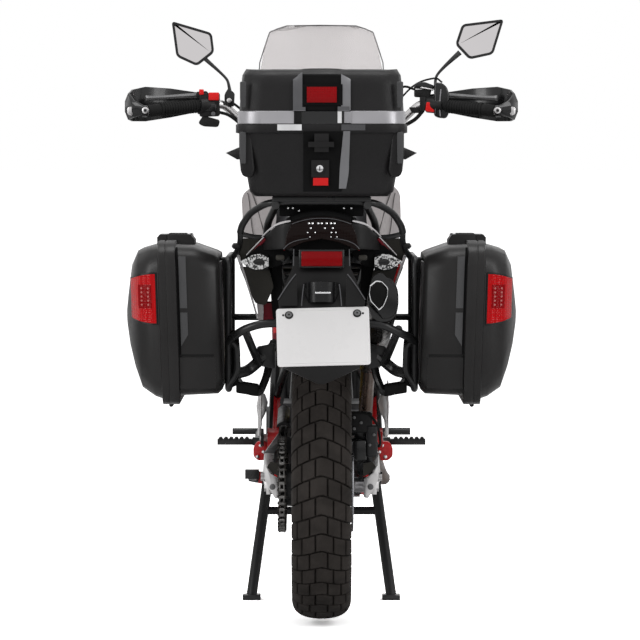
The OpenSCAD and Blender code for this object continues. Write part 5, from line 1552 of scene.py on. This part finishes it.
def make_stage():
    """Pale floor and a white world behind it."""
    object_mode()
    bpy.ops.object.select_all(action="DESELECT")
    bpy.ops.mesh.primitive_plane_add(size=FLOOR_SIZE, location=(0, 0, -0.0005))
    floor = bpy.context.object
    floor.name = "floor"
    material, shader = new_material("pale_floor")
    tree = material.node_tree
    shader_values(shader, Base_Color=(0.8, 0.8, 0.8, 1), Roughness=0.7)
    bright = add_node(material, "ShaderNodeBsdfDiffuse")
    bright.inputs["Color"].default_value = (3.4, 3.4, 3.4, 1)
    path = add_node(material, "ShaderNodeLightPath")
    mix = add_node(material, "ShaderNodeMixShader", [("Fac", path, "Is Camera Ray")])
    tree.links.new(shader.outputs["BSDF"], mix.inputs[1])
    tree.links.new(bright.outputs["BSDF"], mix.inputs[2])
    tree.links.new(mix.outputs["Shader"], tree.nodes["Material Output"].inputs["Surface"])
    floor.data.materials.append(material)

    world = bpy.data.worlds.new("studio")
    bpy.context.scene.world = world
    world.use_nodes = True
    tree = world.node_tree
    background = tree.nodes["Background"]
    background.inputs["Color"].default_value = (1, 1, 1, 1)
    path = tree.nodes.new("ShaderNodeLightPath")
    seen = path.outputs["Is Camera Ray"]
    for ray in ("Is Transmission Ray", "Is Glossy Ray"):
        either = tree.nodes.new("ShaderNodeMath")
        either.operation = "MAXIMUM"
        tree.links.new(seen, either.inputs[0])
        tree.links.new(path.outputs[ray], either.inputs[1])
        seen = either.outputs[0]
    level = tree.nodes.new("ShaderNodeMapRange")
    level.inputs["To Min"].default_value = LIGHT_ON_OBJECT
    level.inputs["To Max"].default_value = LIGHT_SEEN
    tree.links.new(seen, level.inputs["Value"])
    tree.links.new(level.outputs["Result"], background.inputs["Strength"])


def soft_box(name, place, target, size, power):
    object_mode()
    bpy.ops.object.select_all(action="DESELECT")
    bpy.ops.object.light_add(type="AREA", location=place)
    lamp = bpy.context.object
    lamp.name = name
    lamp.data.shape = "RECTANGLE"
    lamp.data.size, lamp.data.size_y = size
    lamp.data.energy = power
    lamp.rotation_euler = (Vector(target) - Vector(place)).to_track_quat("-Z", "Y").to_euler()


def make_lights():
    middle = (0, REAR.y, 0.7)
    soft_box("left_box", (-3.4, -3.4, 2.0), middle, (1.2, 2.6), 70)
    soft_box("right_box", (3.4, -3.0, 2.2), middle, (1.2, 2.6), 60)
    soft_box("top_box", (0, -1.0, 4.2), middle, (3.0, 1.6), 80)


# The camera's place behind the rear axle in metres, its tilt in degrees and its lens in millimetres
CAMERA_OFFSET = (-0.0035, -10.0, 1.112)
CAMERA_TILT = -2.293
CAMERA_LENS = 240.9


def make_camera():
    object_mode()
    bpy.ops.object.select_all(action="DESELECT")
    x, back, height = CAMERA_OFFSET
    bpy.ops.object.camera_add(location=(x, REAR.y + back, height))
    camera = bpy.context.object
    camera.data.sensor_width = 36
    camera.data.lens = CAMERA_LENS
    camera.rotation_euler = (math.radians(90 + CAMERA_TILT), 0, 0)
    bpy.context.scene.camera = camera


finish = make_materials()
make_stage()
make_lights()
make_camera()
form = dress_nodes()
make_tyres()
make_chassis()
make_racks()
make_shoulders()
make_side_covers()
make_foot_area()
make_chain()
make_seat()
make_top_case()
for s, side in SIDES:
    make_side_case(s, side)
make_plate()
make_tail()
make_mirrors()
make_handlebar()
make_cables()
make_screen()

scene = bpy.context.scene
scene.view_settings.view_transform = "Standard"
object_mode()
